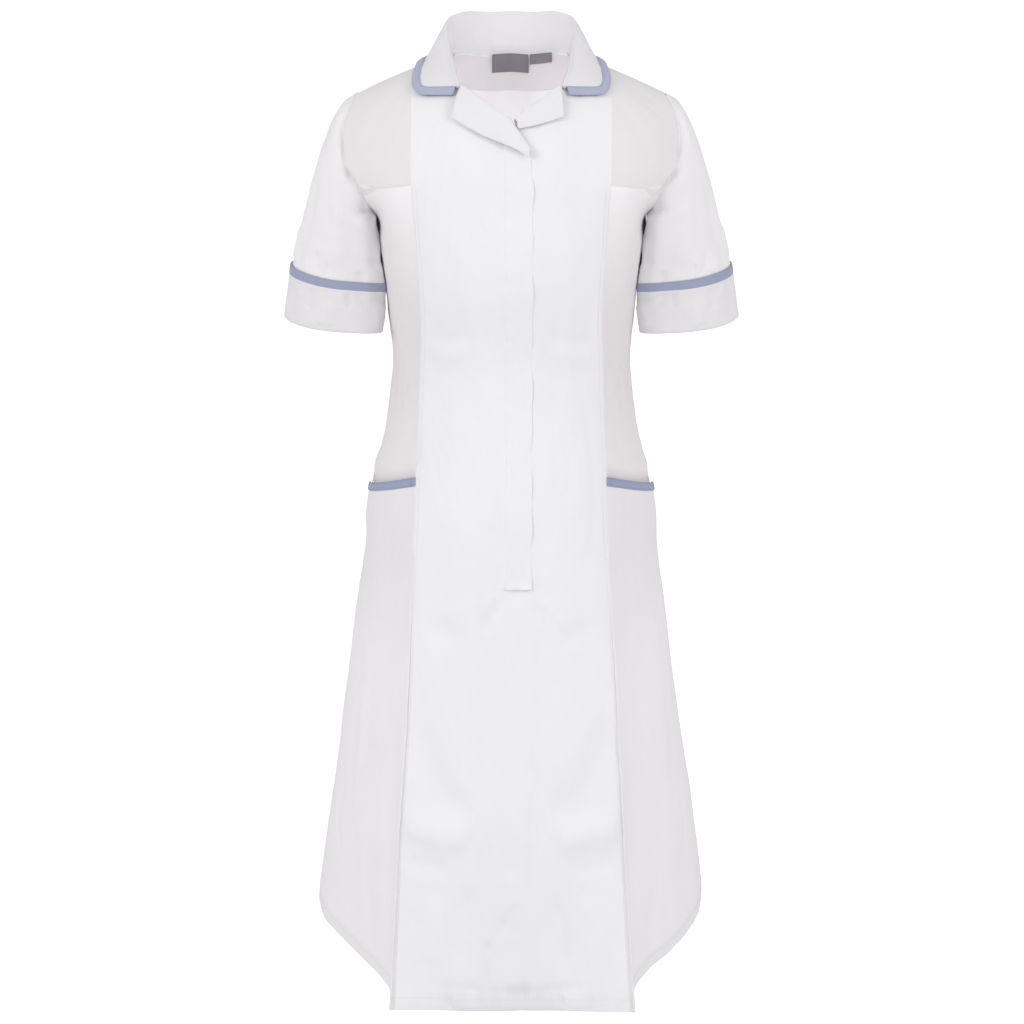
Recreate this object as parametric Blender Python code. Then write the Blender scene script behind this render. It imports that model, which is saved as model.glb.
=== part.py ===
"""A nurse's short-sleeved dress with princess seams, as hollow and rounded as when it is worn.

Metres, +Z up. The origin is at the wearer's nape: X = 0 is the dress's middle, +X the wearer's left,
-Y the front. Heights are given as a drop below the nape. Every cloth piece is a closed wall between an
outer grid of points and the same points moved in. Pieces that share a seam share its points.
"""

import math
from collections import namedtuple

import bmesh
import bpy
from mathutils import Vector

# Cloth
WALL = 0.0014
CUFF_WALL = 0.0020
TRIM_WALL = 0.0026
LABEL_WALL = 0.0010
SEAM_GAP = 0.0003
LAYER_GAP = 0.0005
MITRE_LIMIT = 0.7

# Levels and widths of the body
ARMPIT = 0.172
HIP = 0.500
HEM = 1.100
SHOULDER_Y = 0.008
SHOULDER_TIP = 0.178
NECK_POINT = 0.064
SQUARENESS = 2.3

# Trim, fly and pocket
TRIM = 0.0095
TRIM_RAISE = 0.0012
CUFF_RAISE = 0.0018
CUFF_TRIM_RAISE = 0.0024
FLY_STITCH = -0.009
FLY_EDGE = 0.023
FLY_END = 0.584
FLY_TUCK = 0.530
FLY_SLIT = 0.004
# How much further to the left the front seam lies at the hem than under the fly
FRONT_SWAY = 0.011
FLY_TOP = ((FLY_STITCH, 0.0625), (0.0, 0.0680), (0.0105, 0.0822), (0.0210, 0.0970))
# How far below its mouth, and how deep, each row of the pocket's back lies
POCKET_BACK = ((-0.012, 0.0), (-0.001, 0.0036), (0.015, 0.0036), (0.075, 0.0032), (0.150, 0.0032))
POCKET_GAPE = 0.0055
POCKET_FADE = 0.100
# How much narrower at each side the pocket's back is, as a share of the panel
POCKET_INSET = 0.03
# How far the first row under the armhole is drawn up towards it
ARMPIT_EASE = 0.12

# Labels
MAIN_LABEL = (0.042, 0.022)
MAIN_LABEL_AT = -0.001
SIZE_LABEL = (0.024, 0.012)
SIZE_LABEL_AT = 0.0345
LABEL_DROP = 0.0015

# Collar
COLLAR_LIFT = 0.0040
BAND_RISE = 0.0010
FOLD = 0.0024
BULGE = 0.09
# How far the trim stops short of the fold at the notch
NOTCH_EASE = 0.0022
REVER_ROLL = 0.0030

Ring = namedtuple("Ring", "drop half_width front back princess")
RINGS = (
    Ring(0.040, 0.206, 0.134, 0.108, 0.1100),
    Ring(0.100, 0.206, 0.134, 0.108, 0.1095),
    Ring(0.125, 0.200, 0.134, 0.108, 0.1090),
    Ring(0.145, 0.184, 0.134, 0.108, 0.1080),
    Ring(0.160, 0.168, 0.134, 0.108, 0.1075),
    Ring(0.172, 0.1535, 0.134, 0.108, 0.1070),
    Ring(0.200, 0.1515, 0.139, 0.108, 0.1050),
    Ring(0.250, 0.1450, 0.135, 0.104, 0.1020),
    Ring(0.300, 0.1412, 0.122, 0.099, 0.1020),
    Ring(0.335, 0.1390, 0.115, 0.098, 0.1040),
    Ring(0.370, 0.1420, 0.114, 0.103, 0.1055),
    Ring(0.420, 0.1490, 0.119, 0.113, 0.1080),
    Ring(0.460, 0.1565, 0.125, 0.121, 0.1100),
    Ring(0.500, 0.1650, 0.131, 0.128, 0.1110),
)

# Rows of points down the body: the drop on the princess seam and the drop on the side seam
Level = namedtuple("Level", "princess side")
LEVELS = (
    Level(0.129, 0.172),
    Level(0.150, 0.186),
    Level(0.200, 0.200),
    Level(0.250, 0.250),
    Level(0.295, 0.295),
    Level(0.335, 0.335),
    Level(0.375, 0.375),
    Level(0.420, 0.420),
    Level(0.456, 0.496),
    Level(0.500, 0.518),
    Level(0.545, 0.545),
    Level(0.584, 0.584),
    Level(0.660, 0.660),
    Level(0.760, 0.760),
    Level(0.860, 0.860),
    Level(0.960, 0.960),
    Level(1.040, 1.040),
    Level(1.100, 1.100),
)
POCKET_ROW = 8

# Plan of the hem from above: flat front, a sharp fold at the princess seam, then the swept side and back
Plan = namedtuple("Plan", "x y")
HEM_FRONT = (Plan(0.000, -0.190), Plan(0.147, -0.190))
HEM_SIDE = (
    Plan(0.147, -0.190),
    Plan(0.150, -0.140),
    Plan(0.165, -0.105),
    Plan(0.186, -0.073),
    Plan(0.214, -0.024),
    Plan(0.240, 0.027),
    Plan(0.254, 0.081),
    Plan(0.258, 0.125),
)
HEM_BACK = (
    Plan(0.258, 0.125),
    Plan(0.249, 0.168),
    Plan(0.214, 0.196),
    Plan(0.168, 0.210),
    Plan(0.120, 0.232),
    Plan(0.065, 0.228),
    Plan(0.000, 0.236),
)

# Neck seam from the centre back round to the shoulder, the notch and the bottom of the V
NECK_BACK = (
    Plan(0.000, 0.054),
    Plan(0.020, 0.0505),
    Plan(0.039, 0.041),
    Plan(0.055, 0.026),
    Plan(NECK_POINT, SHOULDER_Y),
)
NECK_FRONT = (
    Plan(NECK_POINT, SHOULDER_Y),
    Plan(0.0645, -0.018),
    Plan(0.0625, -0.042),
    Plan(0.0585, -0.062),
    Plan(0.0535, -0.077),
    Plan(0.0380, -0.089),
    Plan(0.0190, -0.101),
    Plan(0.0000, -0.111),
)
NOTCH = 4
SHOULDER_X = (SHOULDER_TIP, 0.155, 0.132, 0.110)
FRONT_SHOULDER_X = (0.110, 0.087, NECK_POINT)

# Collar, a row for each point of the neck seam from the centre back to the notch
Turn = namedtuple("Turn", "stand lean edge_x edge_y")
COLLAR = (
    Turn(0.046, 0.012, 0.000, 0.068),
    Turn(0.046, 0.013, 0.038, 0.064),
    Turn(0.045, 0.016, 0.070, 0.051),
    Turn(0.037, 0.016, 0.092, 0.032),
    Turn(0.022, 0.008, 0.103, 0.009),
    Turn(0.0095, 0.002, 0.1065, -0.018),
    Turn(0.0045, 0.001, 0.1090, -0.042),
    Turn(0.0035, 0.001, 0.1015, -0.067),
    Turn(0.0030, 0.001, 0.0605, -0.0835),
)

# Revers, a row for each point of the roll line: x and drop there, then x and drop of the outer edge
Leaf = namedtuple("Leaf", "roll_x roll_drop edge_x edge_drop lift")
REVER_RIGHT = (
    Leaf(0.0535, 0.0300, 0.0640, 0.0590, 0.0030),
    Leaf(0.0380, 0.0390, 0.0480, 0.0680, 0.0032),
    Leaf(0.0190, 0.0515, 0.0290, 0.0770, 0.0036),
    Leaf(0.0000, 0.0660, 0.0085, 0.0850, 0.0050),
    Leaf(-0.0105, 0.0805, -0.0050, 0.0905, 0.0050),
    Leaf(-0.0210, 0.0950, -0.0195, 0.0985, 0.0050),
)
REVER_LEFT = (
    Leaf(0.0535, 0.0300, 0.0560, 0.0580, 0.0030),
    Leaf(0.0380, 0.0390, 0.0420, 0.0620, 0.0030),
    Leaf(0.0190, 0.0515, 0.0250, 0.0660, 0.0028),
    Leaf(0.0040, 0.0630, 0.0070, 0.0690, 0.0024),
)

# Armhole: how far out the seam lies at each drop
Hole = namedtuple("Hole", "drop x")
ARMHOLE = (
    Hole(0.0422, SHOULDER_TIP),
    Hole(0.075, 0.184),
    Hole(0.117, 0.180),
    Hole(0.150, 0.1655),
    Hole(0.1634, 0.1580),
    Hole(ARMPIT, 0.1535),
)
ARMHOLE_STEPS = 24
YOKE_STEPS = 8

# Sleeve rings, round outside and square towards the body. The tilts say how much higher the outer and
# back ends are, and hug how far the inner corner at the front leans in to lie along the body.
Cuff = namedtuple("Cuff", "x y z half_width half_depth out_tilt back_tilt hug")
SLEEVE_END = Cuff(0.2010, 0.004, -0.2420, 0.0525, 0.0500, 0.0085, 0.0030, 0.0118)
SLEEVE_HEM = Cuff(0.2072, 0.004, -0.2995, 0.0560, 0.0520, 0.0060, 0.0030, 0.0090)
BACK_HUG = 0.6
SLEEVE_ROWS = (0.0, 0.10, 0.24, 0.40, 0.56, 0.72, 0.87, 1.0)
CUFF_MIDDLE = 0.032

# The back's princess seams lie on this column of its grid, counted from each side seam
BACK_SEAM = 4
FRONT_COLUMNS = 9
SIDE_COLUMNS = 7
# The facing takes the back's first rows, and its columns from this one on
FACING_ROWS = 6
FACING_FROM = 4
WHITE = (0.86, 0.85, 0.87)
BLUE = (0.38, 0.44, 0.66)
GREY = (0.35, 0.34, 0.36)

for old in list(bpy.data.objects):
    bpy.data.objects.remove(old, do_unlink=True)
GARMENT = bpy.data.collections.new("nurse_uniform_dress")
bpy.context.scene.collection.children.link(GARMENT)


def smooth(rows, column, at):
    """A named column of a table at a drop, on a smooth curve through its rows."""
    keys = [row.drop for row in rows]
    values = [getattr(row, column) for row in rows]
    at = min(max(at, keys[0]), keys[-1])
    i = max(k for k in range(len(keys) - 1) if keys[k] <= at)
    span = keys[i + 1] - keys[i]

    def slope(k):
        low, high = max(k - 1, 0), min(k + 1, len(keys) - 1)
        return (values[high] - values[low]) / (keys[high] - keys[low])

    t = (at - keys[i]) / span
    start, end = values[i], values[i + 1]
    lead = slope(i) * span
    tail = slope(i + 1) * span
    return (
        start * (1 + 2 * t) * (1 - t) ** 2
        + lead * t * (1 - t) ** 2
        + end * t * t * (3 - 2 * t)
        - tail * t * t * (1 - t)
    )


def mix(a, b, t):
    return a + (b - a) * t


def fade(t):
    """0 to 1 with level ends."""
    t = min(max(t, 0.0), 1.0)
    return t * t * (3 - 2 * t)


def curve(points, count, from_middle=False):
    """Points on a smooth curve through the given ones, count steps between each two."""
    vectors = [Vector(p) for p in points]
    first = vectors[0] * 2 - vectors[1]
    if from_middle:
        first = Vector((-vectors[1].x, vectors[1].y, vectors[1].z))
    out = []
    for i in range(len(vectors) - 1):
        before = vectors[i - 1] if i else first
        after = vectors[i + 2] if i + 2 < len(vectors) else vectors[-1] * 2 - vectors[-2]
        a, b = vectors[i], vectors[i + 1]
        for k in range(count):
            t = k / count
            lead = (b - before) * 0.5
            tail = (after - a) * 0.5
            point = a * ((1 + 2 * t) * (1 - t) ** 2) + lead * (t * (1 - t) ** 2)
            out.append(point + b * (t * t * (3 - 2 * t)) - tail * (t * t * (1 - t)))
    out.append(vectors[-1])
    return out


def along(points, share):
    """The point at a share of a polyline's length."""
    lengths = [(b - a).length for a, b in zip(points, points[1:])]
    left = min(max(share, 0.0), 1.0) * sum(lengths)
    for a, b, length in zip(points, points[1:], lengths):
        if left <= length:
            return a.lerp(b, left / length)
        left -= length
    return points[-1].copy()


HEM_CURVES = [curve(part, 8) for part in (HEM_FRONT, HEM_SIDE, HEM_BACK)]


def ridge(x):
    """Drop of the shoulder line at a distance from the middle."""
    out = abs(x) - NECK_POINT
    return -0.004 + 0.32 * out + 0.75 * out * out


def bodice(theta, drop):
    """A point of the body above the hip, theta round from the centre front to the centre back."""
    half = smooth(RINGS, "half_width", drop)
    x = half * abs(math.sin(theta)) ** (2 / SQUARENESS)
    depth = abs(math.cos(theta)) ** (2 / SQUARENESS)
    rise = min(max((ARMPIT - drop) / (ARMPIT - ridge(x)), 0.0), 1.0)
    over = math.sqrt(1 - rise * rise)
    if theta <= math.pi / 2:
        y = SHOULDER_Y - (SHOULDER_Y + smooth(RINGS, "front", drop) * depth) * over
    else:
        y = SHOULDER_Y + (smooth(RINGS, "back", drop) * depth - SHOULDER_Y) * over
    return Vector((x, y, -drop))


def theta_at(x, drop):
    """How far round the front a point at x lies."""
    half = smooth(RINGS, "half_width", drop)
    return math.asin(min(abs(x) / half, 1.0) ** (SQUARENESS / 2))


def body(turn, drop):
    """A point of the body: turn 0 centre front, 1 princess seam, 2 side seam, 3 centre back."""
    sign = -1 if turn < 0 else 1
    turn = min(abs(turn), 3.0)
    panel = min(int(turn), 2)
    share = turn - panel
    level = min(drop, HIP)
    seam = theta_at(smooth(RINGS, "princess", level), level)
    bounds = (0.0, seam, math.pi / 2, math.pi)
    point = bodice(mix(bounds[panel], bounds[panel + 1], share), level)
    if drop > HIP:
        hem = along(HEM_CURVES[panel], share)
        fall = (drop - HIP) / (HEM - HIP)
        point = point.lerp(Vector((hem.x, hem.y, -HEM)), fall)
    return Vector((sign * point.x, point.y, point.z))


def turn_at(x, drop):
    """The turn at which the front half lies at x, found by halving."""
    low, high = 0.0, 2.0
    for _ in range(40):
        middle = (low + high) / 2
        if body(middle, drop).x < abs(x):
            low = middle
        else:
            high = middle
    return math.copysign(low, x)


def on_front(x, drop):
    """The point of the front at x and a drop."""
    point = bodice(theta_at(x, drop), drop)
    return Vector((math.copysign(point.x, x), point.y, point.z))


def on_back(x, drop):
    """The point of the back at x and a drop."""
    point = bodice(math.pi - theta_at(x, drop), drop)
    return Vector((math.copysign(point.x, x), point.y, point.z))


def over_top(x, y):
    """The point of the upper body that lies over a point of its plan."""
    half = RINGS[0].half_width
    depth = (1 - (abs(x) / half) ** SQUARENESS) ** (1 / SQUARENESS)
    if y <= SHOULDER_Y:
        over = (SHOULDER_Y - y) / (SHOULDER_Y + RINGS[0].front * depth)
    else:
        over = (y - SHOULDER_Y) / (RINGS[0].back * depth - SHOULDER_Y)
    rise = math.sqrt(1 - min(over, 1.0) ** 2)
    return Vector((x, y, -(ARMPIT - (ARMPIT - ridge(x)) * rise)))


def mirrored(rows):
    """The same piece on the wearer's right."""
    return [[Vector((-p.x, p.y, p.z)) for p in reversed(row)] for row in rows]


def armhole(step):
    """A point of the armhole: step 0 at the shoulder tip, then down the front and up the back."""
    angle = 2 * math.pi * step / ARMHOLE_STEPS
    top, low = ridge(SHOULDER_TIP), ARMPIT
    drop = (top + low) / 2 - (low - top) / 2 * math.cos(angle)
    x = smooth(ARMHOLE, "x", drop)
    if drop <= top + 1e-6:
        return Vector((x, SHOULDER_Y, -top))
    place = on_front if step <= ARMHOLE_STEPS / 2 else on_back
    return place(min(x, smooth(RINGS, "half_width", drop)), drop)


def yoke_share(row):
    """How far up the shoulder panel a row lies, from the seam below it to the shoulder."""
    low = armhole(YOKE_STEPS).z
    return (armhole(YOKE_STEPS - row).z - low) / (armhole(0).z - low)


def raised(bottom, top, share):
    """A point of the upper front between a bottom and a top point, on the body's surface."""
    x = mix(bottom.x, top.x, share)
    drop = -mix(bottom.z, top.z, share)
    if share >= 1:
        return top.copy()
    if share <= 0:
        return bottom.copy()
    return on_front(x, drop)


def princess_top(row):
    """The princess seam above its crossing with the shoulder panel's lower seam."""
    low = body(1, LEVELS[0].princess)
    high = Vector((SHOULDER_X[-1], SHOULDER_Y, -ridge(SHOULDER_X[-1])))
    return raised(low, high, yoke_share(row))


def joint(drop):
    """Where the right front meets the left one: in the middle under the fly, at its edge below it."""
    below = FLY_EDGE + FRONT_SWAY * max(drop - FLY_END, 0.0) / (HEM - FLY_END)
    return below * fade((drop - FLY_TUCK) / (FLY_END - FLY_TUCK - FLY_SLIT))


def front_rows(side):
    """Grid of a front panel from the shoulder down, middle to princess seam; side 1 is the left."""
    neck = [over_top(p.x, p.y) for p in reversed(NECK_FRONT)]
    tops = neck + [
        Vector((x, SHOULDER_Y, -ridge(x))) for x in reversed(FRONT_SHOULDER_X[:-1])
    ]
    rows = []
    for level in LEVELS:
        start = side * turn_at(joint(level.princess), level.princess)
        turns = [mix(start, 1.0, c / FRONT_COLUMNS) for c in range(FRONT_COLUMNS + 1)]
        rows.append([body(turn, level.princess) for turn in turns])
    upper = []
    for row in range(1, YOKE_STEPS + 1):
        share = yoke_share(row)
        line = [raised(a, b, share) for a, b in zip(rows[0][:-1], tops[:-1])]
        upper.append(line + [princess_top(row)])
    return list(reversed(upper)) + rows


def yoke_rows():
    """Grid of a shoulder panel from the shoulder down, princess seam to armhole."""
    rows = []
    for row in range(YOKE_STEPS, -1, -1):
        inner, outer = princess_top(row), armhole(YOKE_STEPS - row)
        line = [inner]
        for column in (1, 2):
            share = column / 3
            x = mix(inner.x, outer.x, share)
            rises = [(ARMPIT + p.z) / (ARMPIT - ridge(p.x)) for p in (inner, outer)]
            drop = ARMPIT - (ARMPIT - ridge(x)) * min(mix(*rises, share), 1.0)
            top = Vector((SHOULDER_X[3 - column], SHOULDER_Y, -ridge(SHOULDER_X[3 - column])))
            line.append(top if row == YOKE_STEPS else on_front(x, drop))
        rows.append(line + [outer])
    return rows


def side_top():
    """Top edge of the side front: the seam under the shoulder panel, then the armhole to the armpit."""
    return yoke_rows()[-1] + [armhole(step) for step in range(YOKE_STEPS + 1, 13)]


def side_front_rows():
    """Grid of a side front from its top edge to the inside of the pocket, princess to side seam."""
    tops = side_top()
    rows = [tops]
    for level in LEVELS[1 : POCKET_ROW + 1]:
        line = []
        for column, top in enumerate(tops):
            share = column / SIDE_COLUMNS
            point = body(1 + share, mix(level.princess, level.side, share))
            if level is LEVELS[1]:
                half_way = point.lerp(top, ARMPIT_EASE * math.sin(math.pi * share))
                point = point if column in (0, SIDE_COLUMNS) else half_way
            line.append(point)
        rows.append(line)
    return rows


def pocket_lining_rows(mouth):
    """The side front goes on behind the pocket, further in than the trim at its mouth."""
    rows = []
    for down, depth in POCKET_BACK:
        line = []
        for column, point in enumerate(mouth):
            share = column / SIDE_COLUMNS
            inset = POCKET_INSET if depth else 0.0
            low = body(1 + inset + (1 - 2 * inset) * share, -point.z + down)
            inward = (low - Vector((0, 0, low.z))).normalized()
            line.append(low - inward * depth)
        rows.append(line)
    return rows


def skirt_rows():
    """Grid of a side skirt panel from the pocket's mouth to the hem, princess to side seam."""
    rows = []
    for level in LEVELS[POCKET_ROW:]:
        line = []
        for column in range(SIDE_COLUMNS + 1):
            share = column / SIDE_COLUMNS
            drop = mix(level.princess, level.side, share)
            point = body(1 + share, drop)
            mouth = mix(LEVELS[POCKET_ROW].princess, LEVELS[POCKET_ROW].side, share)
            gape = POCKET_GAPE * share * share * (1 - fade((drop - mouth) / POCKET_FADE))
            out = Vector((point.x, point.y * 0.6, 0)).normalized()
            line.append(point + out * gape)
        rows.append(line)
    return rows


def back_columns():
    """Points of the back's top edge from the left shoulder tip to the centre back."""
    shoulder = SHOULDER_X + FRONT_SHOULDER_X[1:-1]
    tops = [Vector((x, SHOULDER_Y, -ridge(x))) for x in shoulder]
    return tops + [over_top(p.x, p.y) for p in reversed(NECK_BACK)]


def back_rows():
    """Grid of the back from the neck and shoulders to the hem, left side seam to right side seam."""
    tops = back_columns()
    count = len(tops) - 1
    half = ARMHOLE_STEPS // 2
    rows = []
    for step in range(ARMHOLE_STEPS, half, -1):
        edge = armhole(step % ARMHOLE_STEPS)
        share = (edge.z + ARMPIT) / (ARMPIT - ridge(SHOULDER_TIP))
        line = [edge]
        for column in range(1, count + 1):
            low = body(2 + column / count, ARMPIT)
            top = tops[column]
            bow = edge.x - mix(smooth(ARMHOLE, "x", ARMPIT), SHOULDER_TIP, share)
            x = mix(low.x, top.x, share) + bow * (1 - column / count) ** 2
            drop = -mix(low.z, top.z, share)
            line.append(top if step == ARMHOLE_STEPS else on_back(x, drop))
        rows.append(line)
    for level in LEVELS:
        rows.append([body(2 + column / count, level.side) for column in range(count + 1)])
    return [line + mirrored([line])[0][1:] for line in rows]


def ring_point(ring, step):
    """A point of a sleeve ring, step 0 outermost, then round by the front."""
    angle = 2 * math.pi * step / ARMHOLE_STEPS
    out, ahead = math.cos(angle), math.sin(angle)
    reach, lean = 1.0, 0.0
    if out < 0:
        reach = (out**4 + ahead**4) ** -0.25
        corner = math.sin(2 * angle) ** 2 * (2**0.5 * abs(ahead)) ** 3
        lean = ring.hug * corner * (1.0 if ahead > 0 else BACK_HUG)
    return Vector(
        (
            ring.x + ring.half_width * out * reach - lean,
            ring.y - ring.half_depth * ahead * reach,
            ring.z + ring.out_tilt * out - ring.back_tilt * ahead,
        )
    )


def sleeve_rows():
    """Rings of a sleeve from the armhole to its trim."""
    rows = []
    for share in SLEEVE_ROWS:
        line = []
        for step in range(ARMHOLE_STEPS):
            angle = 2 * math.pi * step / ARMHOLE_STEPS
            out, ahead = math.cos(angle), math.sin(angle)
            start, end = armhole(step), ring_point(SLEEVE_END, step)
            reach = mix(0.013, 0.030, (1 + out) / 2) + 0.006 * abs(ahead)
            sink = mix(-2.4, -0.20, ((1 + out) / 2) ** 0.4)
            leave = Vector((1.0, -0.25 * ahead, sink)).normalized()
            lean = mix(0.08, -0.27, (1 + out) / 2)
            rise = Vector((lean, -0.10 * ahead, 1.0)).normalized()
            a, b = start + leave * reach, end + rise * mix(0.030, 0.085, (1 + out) / 2)
            t, s = share, 1 - share
            point = start * s**3 + a * (3 * s * s * t) + b * (3 * s * t * t) + end * t**3
            line.append(point)
        rows.append(line)
    return rows


def lowered(ring, by):
    """The ring, moved down its sleeve."""
    share = by / (SLEEVE_END.z - SLEEVE_HEM.z)
    return Cuff(*[mix(a, b, share) for a, b in zip(ring, SLEEVE_HEM)])


def sleeve_trim_rows():
    """Rings of the band between sleeve and cuff."""
    rings = [lowered(SLEEVE_END, by) for by in (0.0, TRIM / 2, TRIM)]
    return [[ring_point(ring, step) for step in range(ARMHOLE_STEPS)] for ring in rings]


def cuff_rows():
    """Rings of the turned-back cuff, from its trim to the sleeve's hem."""
    rings = [lowered(SLEEVE_END, TRIM), lowered(SLEEVE_END, CUFF_MIDDLE), SLEEVE_HEM]
    return [[ring_point(ring, step) for step in range(ARMHOLE_STEPS)] for ring in rings]


def grid_normals(rows, closed):
    """Outward unit vectors of a grid whose rows run down and columns run from front to back."""
    high, wide = len(rows), len(rows[0])
    normals = []
    for r in range(high):
        line = []
        for c in range(wide):
            left = rows[r][(c - 1) % wide] if closed or c else rows[r][c]
            right = rows[r][(c + 1) % wide] if closed or c < wide - 1 else rows[r][c]
            here = rows[r][c]
            across = Vector()
            for a, b in ((left, here), (here, right)):
                if (b - a).length > 1e-9:
                    across += (b - a).normalized()
            down = Vector()
            for a, b in ((rows[max(r - 1, 0)][c], here), (here, rows[min(r + 1, high - 1)][c])):
                if (b - a).length > 1e-9:
                    down += (b - a).normalized()
            line.append(down.cross(across).normalized())
        normals.append(line)
    return normals


def key(point):
    return (round(point.x, 5), round(point.y, 5), round(point.z, 5))


class Cloth:
    """One piece of cloth: a grid of outer points, its wall and how far it stands proud."""

    def __init__(self, name, rows, wall=WALL, proud=0.0, closed=False, colour=WHITE):
        self.name, self.rows, self.wall = name, rows, wall
        self.proud, self.closed, self.colour = proud, closed, colour
        self.own = grid_normals(rows, closed)

    def edge(self, r, c):
        ends = r in (0, len(self.rows) - 1)
        return ends or (not self.closed and c in (0, len(self.rows[0]) - 1))

    def pulled(self, r, c):
        """The point, drawn back from each edge it lies on by half a seam gap."""
        here = self.rows[r][c]
        high, wide = len(self.rows), len(self.rows[0])
        point = here.copy()
        if r in (0, high - 1):
            point += self.step(here, self.rows[1 if r == 0 else high - 2][c])
        if not self.closed and c in (0, wide - 1):
            point += self.step(here, self.rows[r][1 if c == 0 else wide - 2])
        return point

    def step(self, here, there):
        way = there - here
        return way * (SEAM_GAP / 2 / max(way.length, SEAM_GAP))


def shared_normals(pieces):
    """Where pieces share a seam point, both walls are mitred on the mean of their own directions."""
    sums = {}
    for piece in pieces:
        for row, line in zip(piece.rows, piece.own):
            for point, normal in zip(row, line):
                sums[key(point)] = sums.get(key(point), Vector()) + normal
    return sums


def skins(piece, sums):
    """Outer and inner points of a piece."""
    outer, inner = [], []
    for r, row in enumerate(piece.rows):
        outer_line, inner_line = [], []
        for c, point in enumerate(row):
            own = piece.own[r][c]
            total = sums.get(key(point), own) if piece.edge(r, c) else own
            normal = total.normalized() if total.length > 1e-6 else own
            reach = 1 / max(normal.dot(own), MITRE_LIMIT)
            base = piece.pulled(r, c)
            outer_line.append(base + normal * piece.proud * reach)
            inner_line.append(base + normal * (piece.proud - piece.wall) * reach)
        outer.append(outer_line)
        inner.append(inner_line)
    return outer, inner


def solid(name, outer, inner, closed, colour):
    """A closed mesh between two grids of the same shape, with a rim round its free edges."""
    high, wide = len(outer), len(outer[0])
    mesh = bpy.data.meshes.new(name)
    shape = bmesh.new()
    front = [[shape.verts.new(p) for p in row] for row in outer]
    rear = [[shape.verts.new(p) for p in row] for row in inner]
    for r in range(high - 1):
        for c in range(wide if closed else wide - 1):
            d = (c + 1) % wide
            shape.faces.new((front[r][c], front[r + 1][c], front[r + 1][d], front[r][d]))
            shape.faces.new((rear[r][c], rear[r][d], rear[r + 1][d], rear[r + 1][c]))
    for c in range(wide if closed else wide - 1):
        d = (c + 1) % wide
        shape.faces.new((front[0][c], front[0][d], rear[0][d], rear[0][c]))
        shape.faces.new((front[-1][d], front[-1][c], rear[-1][c], rear[-1][d]))
    if not closed:
        for r in range(high - 1):
            shape.faces.new((front[r + 1][0], front[r][0], rear[r][0], rear[r + 1][0]))
            shape.faces.new((front[r][-1], front[r + 1][-1], rear[r + 1][-1], rear[r][-1]))
    bmesh.ops.triangulate(shape, faces=shape.faces[:])
    shape.to_mesh(mesh)
    shape.free()
    piece = bpy.data.objects.new(name, mesh)
    GARMENT.objects.link(piece)
    mesh.shade_smooth()
    mesh.set_sharp_from_angle(angle=math.radians(50))
    mesh.materials.append(cloth_material(name, colour))
    return piece


def cloth_material(name, colour):
    """Plain matt cloth."""
    material = bpy.data.materials.new(name)
    material.use_nodes = True
    shader = material.node_tree.nodes["Principled BSDF"]
    shader.inputs["Base Color"].default_value = (*colour, 1.0)
    shader.inputs["Roughness"].default_value = 0.85
    shader.inputs["Metallic"].default_value = 0.0
    return material


def turned_line(seam, roll, out, edge, count):
    """From a seam up to a roll line, over it and down to an edge."""
    up = Vector((0, 0, 1))
    tall = (roll - seam).length
    rise = min(FOLD, 0.4 * tall)
    line = [seam, seam.lerp(roll, 0.45), seam.lerp(roll, 1 - rise / tall)]
    line.append(roll + out * (FOLD * 0.7) + up * 0.0006)
    start = roll + out * (FOLD * 1.7) - up * 0.0012
    line.append(start)
    bend = start.lerp(edge, 0.45) + (up + out) * BULGE * (edge - start).length
    for k in range(1, count + 1):
        t = k / count
        line.append(start * (1 - t) ** 2 + bend * (2 * t * (1 - t)) + edge * t * t)
    return line


def collar_path():
    """Seam, roll and edge points of half the collar, centre back to notch, and its outward ways."""
    neck = [over_top(p.x, p.y) for p in NECK_BACK + NECK_FRONT[1 : NOTCH + 1]]
    up = Vector((0, 0, 1))
    stations = []
    for i, turn in enumerate(COLLAR):
        before, after = neck[max(i - 1, 0)], neck[min(i + 1, len(neck) - 1)]
        way = after - before
        out = Vector((-way.y, way.x, 0)).normalized()
        if i == 0:
            out = Vector((0, 1, 0))
        roll = neck[i] + up * turn.stand + out * turn.lean
        edge = over_top(turn.edge_x, turn.edge_y) + up * COLLAR_LIFT
        stations.append((neck[i] + up * 2 * SEAM_GAP, roll, out, edge))
    return stations


def finer(points, count=2):
    """Points between those of half a collar, smooth across its centre back."""
    return curve(points, count, True)


def straight(points, count=2):
    """Points on the straight runs between the given ones."""
    out = []
    for a, b in zip(points, points[1:]):
        out += [a.lerp(b, k / count) for k in range(count)]
    return out + [points[-1].copy()]


def edge_band(edges):
    """Inner edge of the collar's trim: the outer edge moved in by the trim's width in plan."""
    inner = []
    for i, point in enumerate(edges):
        before, after = edges[max(i - 1, 0)], edges[min(i + 1, len(edges) - 1)]
        way = after - before
        if i == 0:
            way = Vector((1, 0, 0))
        inward = Vector((way.y, -way.x, 0)).normalized()
        here = over_top(point.x, point.y)
        flat = point + inward * TRIM
        slope = (over_top(flat.x, flat.y) - here).length / TRIM
        spot = point + inward * (TRIM / slope)
        lift = point.z - here.z
        inner.append(over_top(spot.x, spot.y) + Vector((0, 0, lift + BAND_RISE)))
    return inner


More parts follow.
